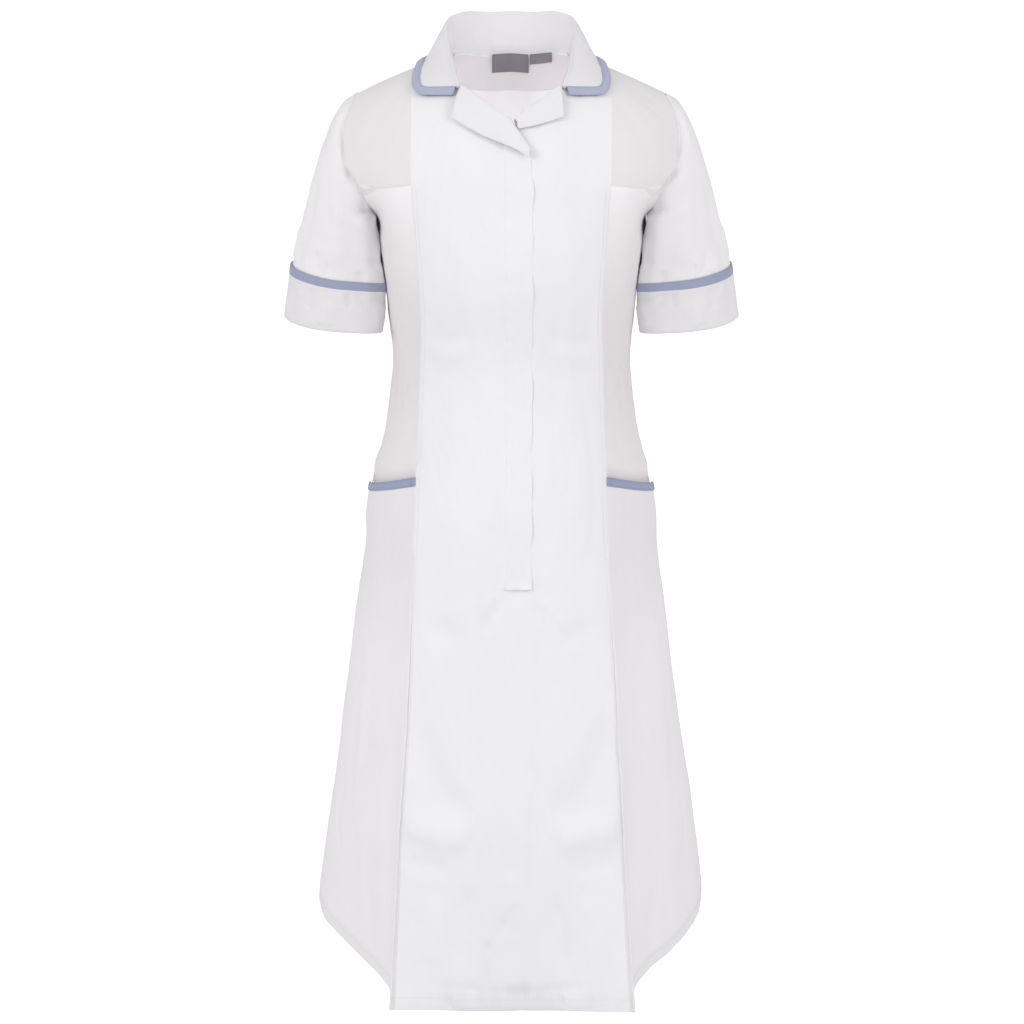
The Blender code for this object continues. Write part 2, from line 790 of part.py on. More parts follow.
def collar_rows():
    """Cross lines of the collar from the right notch round the back to the left notch, and its trim."""
    seams, rolls, outs, edges = zip(*collar_path())
    seams, rolls = straight(seams), finer(rolls)
    outs = [p.normalized() for p in finer(outs)]
    edges = finer(edges)
    inner = edge_band(edges)
    leaf, band = [], []
    for seam, roll, out, inside, outside in zip(seams, rolls, outs, inner, edges):
        leaf.append(turned_line(seam, roll, out, inside, 4))
        middle = inside.lerp(outside, 0.5) + Vector((0, 0, 0.0003))
        band.append([inside, middle, outside])
    band[-1] = [p + Vector((NOTCH_EASE, 0, 0)) for p in band[-1]]
    both = []
    for half in (leaf, band):
        other = [[Vector((-p.x, p.y, p.z)) for p in line] for line in reversed(half)]
        both.append(other[:-1] + half)
    return both


def rever_rows(table, side):
    """Cross lines of a rever from its notch to its lower end; side 1 is the left."""
    up = Vector((0, 0, 1))
    lines = []
    fine = []
    for a, b in zip(table, table[1:]):
        fine += [Leaf(*[mix(p, q, k / 2) for p, q in zip(a, b)]) for k in range(2)]
    fine.append(table[-1])
    for leaf in fine:
        seam = on_front(leaf.roll_x, leaf.roll_drop)
        lift = max(leaf.lift - REVER_ROLL, 0.0) + SEAM_GAP * 2
        seam = seam + up * lift + Vector((0, -lift, 0))
        edge = on_front(leaf.edge_x, leaf.edge_drop) + Vector((0, -leaf.lift, leaf.lift * 0.5))
        out = Vector((edge.x - seam.x, edge.y - seam.y, 0)).normalized()
        roll = seam + up * REVER_ROLL + Vector((0, -0.2 * REVER_ROLL, 0))
        lines.append(turned_line(seam, roll, out, edge, 3))
    if side < 0:
        lines = [[Vector((-p.x, p.y, p.z)) for p in line] for line in lines]
    return lines


def fly_rows():
    """Grid of the fly flap from the V down to its open end, stitch line to free edge."""
    xs = [mix(FLY_STITCH, FLY_EDGE, k / 3) for k in range(4)]
    drops = [level.princess for level in LEVELS if level.princess <= FLY_END]
    spots = []
    for k in range(4):
        share = k / 4
        line = []
        for (x, drop), at in zip(FLY_TOP, xs):
            line.append((mix(x, at, share), mix(drop, drops[0], share)))
        spots.append(line)
    spots += [[(x, drop) for x in xs] for drop in drops]
    return [[body(turn_at(x, drop), drop) for x, drop in line] for line in spots]


def facing_rows():
    """Grid of the back neck facing: the back's own upper points, moved in."""
    return [row[FACING_FROM:-FACING_FROM] for row in back_rows()[:FACING_ROWS]]


def label_rows(at, size):
    """Grid of a label that hangs inside the back from the neck seam."""
    width, height = size
    rows = []
    for k in range(3):
        line = []
        for c in range(3):
            x = at + width * (0.5 - c / 2)
            neck = over_top(x, neck_y(x))
            line.append(on_back(x, -neck.z + LABEL_DROP + height * k / 2))
        rows.append(line)
    return rows


def neck_y(x):
    """Y of the back neck seam at x."""
    for a, b in zip(NECK_BACK, NECK_BACK[1:]):
        if abs(x) <= b.x:
            return mix(a.y, b.y, (abs(x) - a.x) / (b.x - a.x))
    return SHOULDER_Y


def add(piece, sums):
    outer, inner = skins(piece, sums)
    solid(piece.name, outer, inner, piece.closed, piece.colour)


def body_pieces():
    """The panels and sleeves that meet each other at seams."""
    side_front = side_front_rows()
    side_front = side_front[:-1] + pocket_lining_rows(side_front[-1])
    skirt = skirt_rows()
    trim_end = [a + (b - a).normalized() * TRIM for a, b in zip(skirt[0], skirt[1])]
    pocket_band = [skirt[0], trim_end]
    skirt_below = [pocket_band[1]] + skirt[1:]
    grids = {
        "front": front_rows(1),
        "shoulder": yoke_rows(),
        "side_front": side_front,
        "side_skirt": skirt_below,
    }
    pieces = []
    for name, rows in grids.items():
        pieces.append(Cloth(f"{name}_left", rows))
        right = front_rows(-1) if name == "front" else rows
        pieces.append(Cloth(f"{name}_right", mirrored(right)))
    rings = {
        "sleeve": (sleeve_rows(), WALL, 0.0, WHITE),
        "sleeve_trim": (sleeve_trim_rows(), TRIM_WALL, CUFF_TRIM_RAISE, BLUE),
        "cuff": (cuff_rows(), CUFF_WALL, CUFF_RAISE, WHITE),
    }
    for name, (rows, wall, proud, colour) in rings.items():
        rows = [list(reversed(row)) for row in rows]
        for side, grid in (("left", rows), ("right", mirrored(rows))):
            pieces.append(Cloth(f"{name}_{side}", grid, wall, proud, True, colour))
    for side, grid in (("left", pocket_band), ("right", mirrored(pocket_band))):
        pieces.append(Cloth(f"pocket_trim_{side}", grid, TRIM_WALL, TRIM_RAISE, False, BLUE))
    back = back_rows()
    last = len(back[0]) - 1
    panels = {
        "back_side_left": (0, BACK_SEAM),
        "back_centre": (BACK_SEAM, last - BACK_SEAM),
        "back_side_right": (last - BACK_SEAM, last),
    }
    for name, (first, end) in panels.items():
        pieces.append(Cloth(name, [row[first : end + 1] for row in back]))
    return pieces


def laid_pieces():
    """What lies on or inside the panels."""
    leaf, band = collar_rows()
    facing = Cloth("neck_facing", facing_rows(), WALL, -WALL - LAYER_GAP)
    inside = -2 * WALL - 2 * LAYER_GAP
    main = label_rows(MAIN_LABEL_AT, MAIN_LABEL)
    size = label_rows(SIZE_LABEL_AT, SIZE_LABEL)
    return [
        Cloth("fly_flap", fly_rows(), WALL, WALL + LAYER_GAP),
        Cloth("collar", leaf),
        Cloth("collar_trim", band, TRIM_WALL, TRIM_RAISE, False, BLUE),
        Cloth("rever_left", list(reversed(rever_rows(REVER_LEFT, 1)))),
        Cloth("rever_right", rever_rows(REVER_RIGHT, -1)),
        facing,
        Cloth("main_label", main, LABEL_WALL, inside, False, GREY),
        Cloth("size_label", size, LABEL_WALL, inside, False, GREY),
    ]


def build():
    pieces = body_pieces()
    sums = shared_normals(pieces)
    for piece in pieces:
        add(piece, sums)
    laid = laid_pieces()
    sums = shared_normals(laid)
    for piece in laid:
        add(piece, sums)


build()
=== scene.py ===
"""The nurse's dress in its studio: cloth, trim and stitching over its solids, with the camera and light.

Metres, +Z up, -Y the front, +X the wearer's left. The origin is at the wearer's nape. Heights are given as
a drop below it. Each piece is a grid of coarse points, as the solids have, drawn finer on a smooth surface.
"""

import math
from collections import namedtuple

import bpy
import numpy as np
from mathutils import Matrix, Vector


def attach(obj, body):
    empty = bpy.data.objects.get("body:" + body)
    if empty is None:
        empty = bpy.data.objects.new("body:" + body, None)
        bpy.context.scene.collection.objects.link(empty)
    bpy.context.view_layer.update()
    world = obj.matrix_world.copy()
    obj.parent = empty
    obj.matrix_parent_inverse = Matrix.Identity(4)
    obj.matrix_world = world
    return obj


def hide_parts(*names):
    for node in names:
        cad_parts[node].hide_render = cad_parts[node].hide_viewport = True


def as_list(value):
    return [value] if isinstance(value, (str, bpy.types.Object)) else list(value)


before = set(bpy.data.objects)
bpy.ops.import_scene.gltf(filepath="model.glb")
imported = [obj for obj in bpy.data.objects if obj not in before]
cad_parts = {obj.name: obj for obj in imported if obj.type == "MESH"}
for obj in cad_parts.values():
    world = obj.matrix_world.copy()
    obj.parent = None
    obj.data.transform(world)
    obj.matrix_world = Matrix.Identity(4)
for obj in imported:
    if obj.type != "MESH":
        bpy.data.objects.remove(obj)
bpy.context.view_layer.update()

# Cloth
WALL = 0.0014
CUFF_WALL = 0.0020
TRIM_WALL = 0.0026
LABEL_WALL = 0.0010
SEAM_GAP = 0.0003
LAYER_GAP = 0.0005
MITRE_LIMIT = 0.7

# Levels and widths of the body
ARMPIT = 0.172
HIP = 0.500
HEM = 1.100
SHOULDER_Y = 0.008
SHOULDER_TIP = 0.178
NECK_POINT = 0.064
SQUARENESS = 2.3

# Trim, fly and pocket
TRIM = 0.0095
TRIM_RAISE = 0.0012
CUFF_RAISE = 0.0018
CUFF_TRIM_RAISE = 0.0024
FLY_STITCH = -0.009
FLY_EDGE = 0.023
FLY_END = 0.584
FLY_TUCK = 0.530
FLY_SLIT = 0.004
# How much further to the left the front seam lies at the hem than under the fly
FRONT_SWAY = 0.011
FLY_TOP = ((FLY_STITCH, 0.0625), (0.0, 0.0680), (0.0105, 0.0822), (0.0210, 0.0970))
# How far below its mouth, and how deep, each row of the pocket's back lies
POCKET_BACK = ((-0.012, 0.0), (-0.001, 0.0036), (0.015, 0.0036), (0.075, 0.0032), (0.150, 0.0032))
POCKET_GAPE = 0.0055
POCKET_FADE = 0.100
# How much narrower at each side the pocket's back is, as a share of the panel
POCKET_INSET = 0.03
# How far the first row under the armhole is drawn up towards it
ARMPIT_EASE = 0.12

# Labels
MAIN_LABEL = (0.042, 0.022)
MAIN_LABEL_AT = -0.001
SIZE_LABEL = (0.024, 0.012)
SIZE_LABEL_AT = 0.0345
LABEL_DROP = -0.0030

# Collar
COLLAR_LIFT = 0.0040
BAND_RISE = 0.0010
FOLD = 0.0024
BULGE = 0.09
# How far the trim stops short of the fold at the notch
NOTCH_EASE = 0.0022
REVER_ROLL = 0.0030

Ring = namedtuple("Ring", "drop half_width front back princess")
RINGS = (
    Ring(0.040, 0.206, 0.134, 0.108, 0.1100),
    Ring(0.100, 0.206, 0.134, 0.108, 0.1095),
    Ring(0.125, 0.200, 0.134, 0.108, 0.1090),
    Ring(0.145, 0.184, 0.134, 0.108, 0.1080),
    Ring(0.160, 0.168, 0.134, 0.108, 0.1075),
    Ring(0.172, 0.1535, 0.134, 0.108, 0.1070),
    Ring(0.200, 0.1515, 0.139, 0.108, 0.1050),
    Ring(0.250, 0.1450, 0.135, 0.104, 0.1020),
    Ring(0.300, 0.1412, 0.122, 0.099, 0.1020),
    Ring(0.335, 0.1390, 0.115, 0.098, 0.1040),
    Ring(0.370, 0.1420, 0.114, 0.103, 0.1055),
    Ring(0.420, 0.1490, 0.119, 0.113, 0.1080),
    Ring(0.460, 0.1565, 0.125, 0.121, 0.1100),
    Ring(0.500, 0.1650, 0.131, 0.128, 0.1110),
)

# Rows of points down the body: the drop on the princess seam and the drop on the side seam
Level = namedtuple("Level", "princess side")
LEVELS = (
    Level(0.129, 0.172),
    Level(0.150, 0.186),
    Level(0.200, 0.200),
    Level(0.250, 0.250),
    Level(0.295, 0.295),
    Level(0.335, 0.335),
    Level(0.375, 0.375),
    Level(0.420, 0.420),
    Level(0.463, 0.496),
    Level(0.500, 0.518),
    Level(0.545, 0.545),
    Level(0.584, 0.584),
    Level(0.660, 0.660),
    Level(0.760, 0.760),
    Level(0.860, 0.860),
    Level(0.960, 0.960),
    Level(1.040, 1.040),
    Level(1.100, 1.100),
)
POCKET_ROW = 8

# Plan of the hem from above: flat front, a sharp fold at the princess seam, then the swept side and back
Plan = namedtuple("Plan", "x y")
HEM_FRONT = (Plan(0.000, -0.190), Plan(0.147, -0.190))
HEM_SIDE = (
    Plan(0.147, -0.190),
    Plan(0.150, -0.140),
    Plan(0.165, -0.105),
    Plan(0.186, -0.073),
    Plan(0.214, -0.024),
    Plan(0.240, 0.027),
    Plan(0.254, 0.081),
    Plan(0.258, 0.125),
)
HEM_BACK = (
    Plan(0.258, 0.125),
    Plan(0.249, 0.168),
    Plan(0.214, 0.196),
    Plan(0.168, 0.210),
    Plan(0.120, 0.232),
    Plan(0.065, 0.228),
    Plan(0.000, 0.236),
)

# Neck seam from the centre back round to the shoulder, the notch and the bottom of the V
NECK_BACK = (
    Plan(0.000, 0.054),
    Plan(0.020, 0.0505),
    Plan(0.039, 0.041),
    Plan(0.055, 0.026),
    Plan(NECK_POINT, SHOULDER_Y),
)
NECK_FRONT = (
    Plan(NECK_POINT, SHOULDER_Y),
    Plan(0.0645, -0.018),
    Plan(0.0625, -0.042),
    Plan(0.0585, -0.062),
    Plan(0.0535, -0.077),
    Plan(0.0380, -0.089),
    Plan(0.0190, -0.101),
    Plan(0.0000, -0.111),
)
NOTCH = 4
SHOULDER_X = (SHOULDER_TIP, 0.155, 0.132, 0.110)
FRONT_SHOULDER_X = (0.110, 0.087, NECK_POINT)

# Collar, a row for each point of the neck seam from the centre back to the notch
Turn = namedtuple("Turn", "stand lean edge_x edge_y")
COLLAR = (
    Turn(0.046, 0.012, 0.000, 0.068),
    Turn(0.046, 0.013, 0.038, 0.064),
    Turn(0.045, 0.016, 0.070, 0.051),
    Turn(0.037, 0.016, 0.092, 0.032),
    Turn(0.022, 0.008, 0.103, 0.009),
    Turn(0.0095, 0.002, 0.1065, -0.018),
    Turn(0.0045, 0.001, 0.1090, -0.042),
    Turn(0.0035, 0.001, 0.1015, -0.067),
    Turn(0.0030, 0.001, 0.0605, -0.0835),
)

# Revers, a row for each point of the roll line: x and drop there, then x and drop of the outer edge
Leaf = namedtuple("Leaf", "roll_x roll_drop edge_x edge_drop lift")
REVER_RIGHT = (
    Leaf(0.0535, 0.0300, 0.0640, 0.0590, 0.0030),
    Leaf(0.0380, 0.0390, 0.0480, 0.0680, 0.0032),
    Leaf(0.0190, 0.0515, 0.0290, 0.0770, 0.0036),
    Leaf(0.0000, 0.0660, 0.0085, 0.0850, 0.0050),
    Leaf(-0.0105, 0.0805, -0.0050, 0.0905, 0.0050),
    Leaf(-0.0210, 0.0950, -0.0195, 0.0985, 0.0050),
)
REVER_LEFT = (
    Leaf(0.0535, 0.0300, 0.0560, 0.0580, 0.0030),
    Leaf(0.0380, 0.0390, 0.0420, 0.0620, 0.0030),
    Leaf(0.0190, 0.0515, 0.0250, 0.0660, 0.0028),
    Leaf(0.0040, 0.0630, 0.0070, 0.0690, 0.0024),
)

# Armhole: how far out the seam lies at each drop
Hole = namedtuple("Hole", "drop x")
ARMHOLE = (
    Hole(0.0422, SHOULDER_TIP),
    Hole(0.075, 0.1880),
    Hole(0.112, 0.1855),
    Hole(0.124, 0.1810),
    Hole(0.142, 0.1670),
    Hole(0.1634, 0.1570),
    Hole(ARMPIT, 0.1535),
)
ARMHOLE_STEPS = 24
YOKE_STEPS = 8

# Sleeve rings, round outside and square towards the body. The tilts say how much higher the outer and
# back ends are, and hug how far the inner corner at the front leans in to lie along the body.
Cuff = namedtuple("Cuff", "x y z half_width half_depth out_tilt back_tilt hug")
SLEEVE_END = Cuff(0.2010, 0.004, -0.2420, 0.0525, 0.0500, 0.0085, 0.0030, 0.0118)
SLEEVE_HEM = Cuff(0.2072, 0.004, -0.2995, 0.0560, 0.0520, 0.0060, 0.0030, 0.0090)
BACK_HUG = 0.6
SLEEVE_ROWS = (0.0, 0.10, 0.24, 0.40, 0.56, 0.72, 0.87, 1.0)
CUFF_MIDDLE = 0.032

# The back's princess seams lie on this column of its grid, counted from each side seam
BACK_SEAM = 4
FRONT_COLUMNS = 9
SIDE_COLUMNS = 7
# The facing takes the back's first rows, and its columns from this one on
FACING_ROWS = 6
FACING_FROM = 4
WHITE = (0.86, 0.85, 0.87)
BLUE = (0.38, 0.44, 0.66)
GREY = (0.35, 0.34, 0.36)



def smooth(rows, column, at):
    """A named column of a table at a drop, on a smooth curve through its rows."""
    keys = [row.drop for row in rows]
    values = [getattr(row, column) for row in rows]
    at = min(max(at, keys[0]), keys[-1])
    i = max(k for k in range(len(keys) - 1) if keys[k] <= at)
    span = keys[i + 1] - keys[i]

    def slope(k):
        low, high = max(k - 1, 0), min(k + 1, len(keys) - 1)
        return (values[high] - values[low]) / (keys[high] - keys[low])

    t = (at - keys[i]) / span
    start, end = values[i], values[i + 1]
    lead = slope(i) * span
    tail = slope(i + 1) * span
    return (
        start * (1 + 2 * t) * (1 - t) ** 2
        + lead * t * (1 - t) ** 2
        + end * t * t * (3 - 2 * t)
        - tail * t * t * (1 - t)
    )


def mix(a, b, t):
    return a + (b - a) * t


def fade(t):
    """0 to 1 with level ends."""
    t = min(max(t, 0.0), 1.0)
    return t * t * (3 - 2 * t)


def curve(points, count, from_middle=False):
    """Points on a smooth curve through the given ones, count steps between each two."""
    vectors = [Vector(p) for p in points]
    first = vectors[0] * 2 - vectors[1]
    if from_middle:
        first = Vector((-vectors[1].x, vectors[1].y, vectors[1].z))
    out = []
    for i in range(len(vectors) - 1):
        before = vectors[i - 1] if i else first
        after = vectors[i + 2] if i + 2 < len(vectors) else vectors[-1] * 2 - vectors[-2]
        a, b = vectors[i], vectors[i + 1]
        for k in range(count):
            t = k / count
            lead = (b - before) * 0.5
            tail = (after - a) * 0.5
            point = a * ((1 + 2 * t) * (1 - t) ** 2) + lead * (t * (1 - t) ** 2)
            out.append(point + b * (t * t * (3 - 2 * t)) - tail * (t * t * (1 - t)))
    out.append(vectors[-1])
    return out


def along(points, share):
    """The point at a share of a polyline's length."""
    lengths = [(b - a).length for a, b in zip(points, points[1:])]
    left = min(max(share, 0.0), 1.0) * sum(lengths)
    for a, b, length in zip(points, points[1:], lengths):
        if left <= length:
            return a.lerp(b, left / length)
        left -= length
    return points[-1].copy()


HEM_CURVES = [curve(part, 8) for part in (HEM_FRONT, HEM_SIDE, HEM_BACK)]


def ridge(x):
    """Drop of the shoulder line at a distance from the middle."""
    out = abs(x) - NECK_POINT
    return -0.004 + 0.32 * out + 0.75 * out * out


def bodice(theta, drop):
    """A point of the body above the hip, theta round from the centre front to the centre back."""
    half = smooth(RINGS, "half_width", drop)
    x = half * abs(math.sin(theta)) ** (2 / SQUARENESS)
    depth = abs(math.cos(theta)) ** (2 / SQUARENESS)
    rise = min(max((ARMPIT - drop) / (ARMPIT - ridge(x)), 0.0), 1.0)
    over = math.sqrt(1 - rise * rise)
    if theta <= math.pi / 2:
        y = SHOULDER_Y - (SHOULDER_Y + smooth(RINGS, "front", drop) * depth) * over
    else:
        y = SHOULDER_Y + (smooth(RINGS, "back", drop) * depth - SHOULDER_Y) * over
    return Vector((x, y, -drop))


def theta_at(x, drop):
    """How far round the front a point at x lies."""
    half = smooth(RINGS, "half_width", drop)
    return math.asin(min(abs(x) / half, 1.0) ** (SQUARENESS / 2))


def body(turn, drop):
    """A point of the body: turn 0 centre front, 1 princess seam, 2 side seam, 3 centre back."""
    sign = -1 if turn < 0 else 1
    turn = min(abs(turn), 3.0)
    panel = min(int(turn), 2)
    share = turn - panel
    level = min(drop, HIP)
    seam = theta_at(smooth(RINGS, "princess", level), level)
    bounds = (0.0, seam, math.pi / 2, math.pi)
    point = bodice(mix(bounds[panel], bounds[panel + 1], share), level)
    if drop > HIP:
        hem = along(HEM_CURVES[panel], share)
        fall = (drop - HIP) / (HEM - HIP)
        point = point.lerp(Vector((hem.x, hem.y, -HEM)), fall)
    return Vector((sign * point.x, point.y, point.z))


def turn_at(x, drop):
    """The turn at which the front half lies at x, found by halving."""
    low, high = 0.0, 2.0
    for _ in range(40):
        middle = (low + high) / 2
        if body(middle, drop).x < abs(x):
            low = middle
        else:
            high = middle
    return math.copysign(low, x)


def on_front(x, drop):
    """The point of the front at x and a drop."""
    point = bodice(theta_at(x, drop), drop)
    return Vector((math.copysign(point.x, x), point.y, point.z))


def on_back(x, drop):
    """The point of the back at x and a drop."""
    point = bodice(math.pi - theta_at(x, drop), drop)
    return Vector((math.copysign(point.x, x), point.y, point.z))


def over_top(x, y):
    """The point of the upper body that lies over a point of its plan."""
    half = RINGS[0].half_width
    depth = (1 - (abs(x) / half) ** SQUARENESS) ** (1 / SQUARENESS)
    if y <= SHOULDER_Y:
        over = (SHOULDER_Y - y) / (SHOULDER_Y + RINGS[0].front * depth)
    else:
        over = (y - SHOULDER_Y) / (RINGS[0].back * depth - SHOULDER_Y)
    rise = math.sqrt(1 - min(over, 1.0) ** 2)
    return Vector((x, y, -(ARMPIT - (ARMPIT - ridge(x)) * rise)))


def mirrored(rows):
    """The same piece on the wearer's right."""
    return [[Vector((-p.x, p.y, p.z)) for p in reversed(row)] for row in rows]


def armhole(step):
    """A point of the armhole: step 0 at the shoulder tip, then down the front and up the back."""
    angle = 2 * math.pi * step / ARMHOLE_STEPS
    top, low = ridge(SHOULDER_TIP), ARMPIT
    drop = (top + low) / 2 - (low - top) / 2 * math.cos(angle)
    x = smooth(ARMHOLE, "x", drop)
    if drop <= top + 1e-6:
        return Vector((x, SHOULDER_Y, -top))
    place = on_front if step <= ARMHOLE_STEPS / 2 else on_back
    return place(min(x, smooth(RINGS, "half_width", drop)), drop)


def yoke_share(row):
    """How far up the shoulder panel a row lies, from the seam below it to the shoulder."""
    low = armhole(YOKE_STEPS).z
    return (armhole(YOKE_STEPS - row).z - low) / (armhole(0).z - low)


def raised(bottom, top, share):
    """A point of the upper front between a bottom and a top point, on the body's surface."""
    x = mix(bottom.x, top.x, share)
    drop = -mix(bottom.z, top.z, share)
    if share >= 1:
        return top.copy()
    if share <= 0:
        return bottom.copy()
    return on_front(x, drop)


def princess_top(row):
    """The princess seam above its crossing with the shoulder panel's lower seam."""
    low = body(1, LEVELS[0].princess)
    high = Vector((SHOULDER_X[-1], SHOULDER_Y, -ridge(SHOULDER_X[-1])))
    return raised(low, high, yoke_share(row))


def joint(drop):
    """Where the right front meets the left one: in the middle under the fly, at its edge below it."""
    below = FLY_EDGE + FRONT_SWAY * max(drop - FLY_END, 0.0) / (HEM - FLY_END)
    return below * fade((drop - FLY_TUCK) / (FLY_END - FLY_TUCK - FLY_SLIT))


def front_rows(side):
    """Grid of a front panel from the shoulder down, middle to princess seam; side 1 is the left."""
    neck = [over_top(p.x, p.y) for p in reversed(NECK_FRONT)]
    tops = neck + [
        Vector((x, SHOULDER_Y, -ridge(x))) for x in reversed(FRONT_SHOULDER_X[:-1])
    ]
    rows = []
    for level in LEVELS:
        start = side * turn_at(joint(level.princess), level.princess)
        turns = [mix(start, 1.0, c / FRONT_COLUMNS) for c in range(FRONT_COLUMNS + 1)]
        rows.append([body(turn, level.princess) for turn in turns])
    upper = []
    for row in range(1, YOKE_STEPS + 1):
        share = yoke_share(row)
        line = [raised(a, b, share) for a, b in zip(rows[0][:-1], tops[:-1])]
        upper.append(line + [princess_top(row)])
    return list(reversed(upper)) + rows


def yoke_rows():
    """Grid of a shoulder panel from the shoulder down, princess seam to armhole."""
    rows = []
    for row in range(YOKE_STEPS, -1, -1):
        inner, outer = princess_top(row), armhole(YOKE_STEPS - row)
        line = [inner]
        for column in (1, 2):
            share = column / 3
            x = mix(inner.x, outer.x, share)
            rises = [(ARMPIT + p.z) / (ARMPIT - ridge(p.x)) for p in (inner, outer)]
            drop = ARMPIT - (ARMPIT - ridge(x)) * min(mix(*rises, share), 1.0)
            top = Vector((SHOULDER_X[3 - column], SHOULDER_Y, -ridge(SHOULDER_X[3 - column])))
            line.append(top if row == YOKE_STEPS else on_front(x, drop))
        rows.append(line + [outer])
    return rows


def side_top():
    """Top edge of the side front: the seam under the shoulder panel, then the armhole to the armpit."""
    return yoke_rows()[-1] + [armhole(step) for step in range(YOKE_STEPS + 1, 13)]


def side_front_rows():
    """Grid of a side front from its top edge to the inside of the pocket, princess to side seam."""
    tops = side_top()
    rows = [tops]
    for level in LEVELS[1 : POCKET_ROW + 1]:
        line = []
        for column, top in enumerate(tops):
            share = column / SIDE_COLUMNS
            point = body(1 + share, mix(level.princess, level.side, share))
            if level is LEVELS[1]:
                half_way = point.lerp(top, ARMPIT_EASE * math.sin(math.pi * share))
                point = point if column in (0, SIDE_COLUMNS) else half_way
            line.append(point)
        rows.append(line)
    return rows


def pocket_lining_rows(mouth):
    """The side front goes on behind the pocket, further in than the trim at its mouth."""
    rows = []
    for down, depth in POCKET_BACK:
        line = []
        for column, point in enumerate(mouth):
            share = column / SIDE_COLUMNS
            inset = POCKET_INSET if depth else 0.0
            low = body(1 + inset + (1 - 2 * inset) * share, -point.z + down)
            inward = (low - Vector((0, 0, low.z))).normalized()
            line.append(low - inward * depth)
        rows.append(line)
    return rows


def skirt_rows():
    """Grid of a side skirt panel from the pocket's mouth to the hem, princess to side seam."""
    rows = []
    for level in LEVELS[POCKET_ROW:]:
        line = []
        for column in range(SIDE_COLUMNS + 1):
            share = column / SIDE_COLUMNS
            drop = mix(level.princess, level.side, share)
            point = body(1 + share, drop)
            mouth = mix(LEVELS[POCKET_ROW].princess, LEVELS[POCKET_ROW].side, share)
            gape = POCKET_GAPE * share * share * (1 - fade((drop - mouth) / POCKET_FADE))
            gape *= 1 - 0.55 * fade((share - 0.80) / 0.20)
            out = Vector((point.x, point.y * 0.6, 0)).normalized()
            line.append(point + out * gape)
        rows.append(line)
    return rows


def back_columns():
    """Points of the back's top edge from the left shoulder tip to the centre back."""
    shoulder = SHOULDER_X + FRONT_SHOULDER_X[1:-1]
    tops = [Vector((x, SHOULDER_Y, -ridge(x))) for x in shoulder]
    return tops + [over_top(p.x, p.y) for p in reversed(NECK_BACK)]


def back_rows():
    """Grid of the back from the neck and shoulders to the hem, left side seam to right side seam."""
    tops = back_columns()
    count = len(tops) - 1
    half = ARMHOLE_STEPS // 2
    rows = []
    for step in range(ARMHOLE_STEPS, half, -1):
        edge = armhole(step % ARMHOLE_STEPS)
        share = (edge.z + ARMPIT) / (ARMPIT - ridge(SHOULDER_TIP))
        line = [edge]
        for column in range(1, count + 1):
            low = body(2 + column / count, ARMPIT)
            top = tops[column]
            bow = edge.x - mix(smooth(ARMHOLE, "x", ARMPIT), SHOULDER_TIP, share)
            x = mix(low.x, top.x, share) + bow * (1 - column / count) ** 2
            drop = -mix(low.z, top.z, share)
            line.append(top if step == ARMHOLE_STEPS else on_back(x, drop))
        rows.append(line)
    for level in LEVELS:
        rows.append([body(2 + column / count, level.side) for column in range(count + 1)])
    return [line + mirrored([line])[0][1:] for line in rows]


def ring_point(ring, step):
    """A point of a sleeve ring, step 0 outermost, then round by the front."""
    angle = 2 * math.pi * step / ARMHOLE_STEPS
    out, ahead = math.cos(angle), math.sin(angle)
    reach, lean = 1.0, 0.0
    if out < 0:
        reach = (out**4 + ahead**4) ** -0.25
        corner = math.sin(2 * angle) ** 2 * (2**0.5 * abs(ahead)) ** 3
        lean = ring.hug * corner * (1.0 if ahead > 0 else BACK_HUG)
    return Vector(
        (
            ring.x + ring.half_width * out * reach - lean,
            ring.y - ring.half_depth * ahead * reach,
            ring.z + ring.out_tilt * out - ring.back_tilt * ahead,
        )
    )


def sleeve_rows():
    """Rings of a sleeve from the armhole to its trim."""
    rows = []
    for share in SLEEVE_ROWS:
        line = []
        for step in range(ARMHOLE_STEPS):
            angle = 2 * math.pi * step / ARMHOLE_STEPS
            out, ahead = math.cos(angle), math.sin(angle)
            start, end = armhole(step), ring_point(SLEEVE_END, step)
            reach = mix(0.013, 0.030, (1 + out) / 2) + 0.006 * abs(ahead)
            sink = mix(-2.4, -0.20, ((1 + out) / 2) ** 0.4)
            leave = Vector((1.0, -0.25 * ahead, sink)).normalized()
            lean = mix(0.08, -0.27, (1 + out) / 2)
            rise = Vector((lean, -0.10 * ahead, 1.0)).normalized()
            a, b = start + leave * reach, end + rise * mix(0.030, 0.085, (1 + out) / 2)
            t, s = share, 1 - share
            point = start * s**3 + a * (3 * s * s * t) + b * (3 * s * t * t) + end * t**3
            line.append(point)
        rows.append(line)
    return rows


def lowered(ring, by):
    """The ring, moved down its sleeve."""
    share = by / (SLEEVE_END.z - SLEEVE_HEM.z)
    return Cuff(*[mix(a, b, share) for a, b in zip(ring, SLEEVE_HEM)])


def sleeve_trim_rows():
    """Rings of the band between sleeve and cuff."""
    rings = [lowered(SLEEVE_END, by) for by in (0.0, TRIM / 2, TRIM)]
    return [[ring_point(ring, step) for step in range(ARMHOLE_STEPS)] for ring in rings]


def cuff_rows():
    """Rings of the turned-back cuff, from its trim to the sleeve's hem."""
    rings = [lowered(SLEEVE_END, TRIM), lowered(SLEEVE_END, CUFF_MIDDLE), SLEEVE_HEM]
    return [[ring_point(ring, step) for step in range(ARMHOLE_STEPS)] for ring in rings]


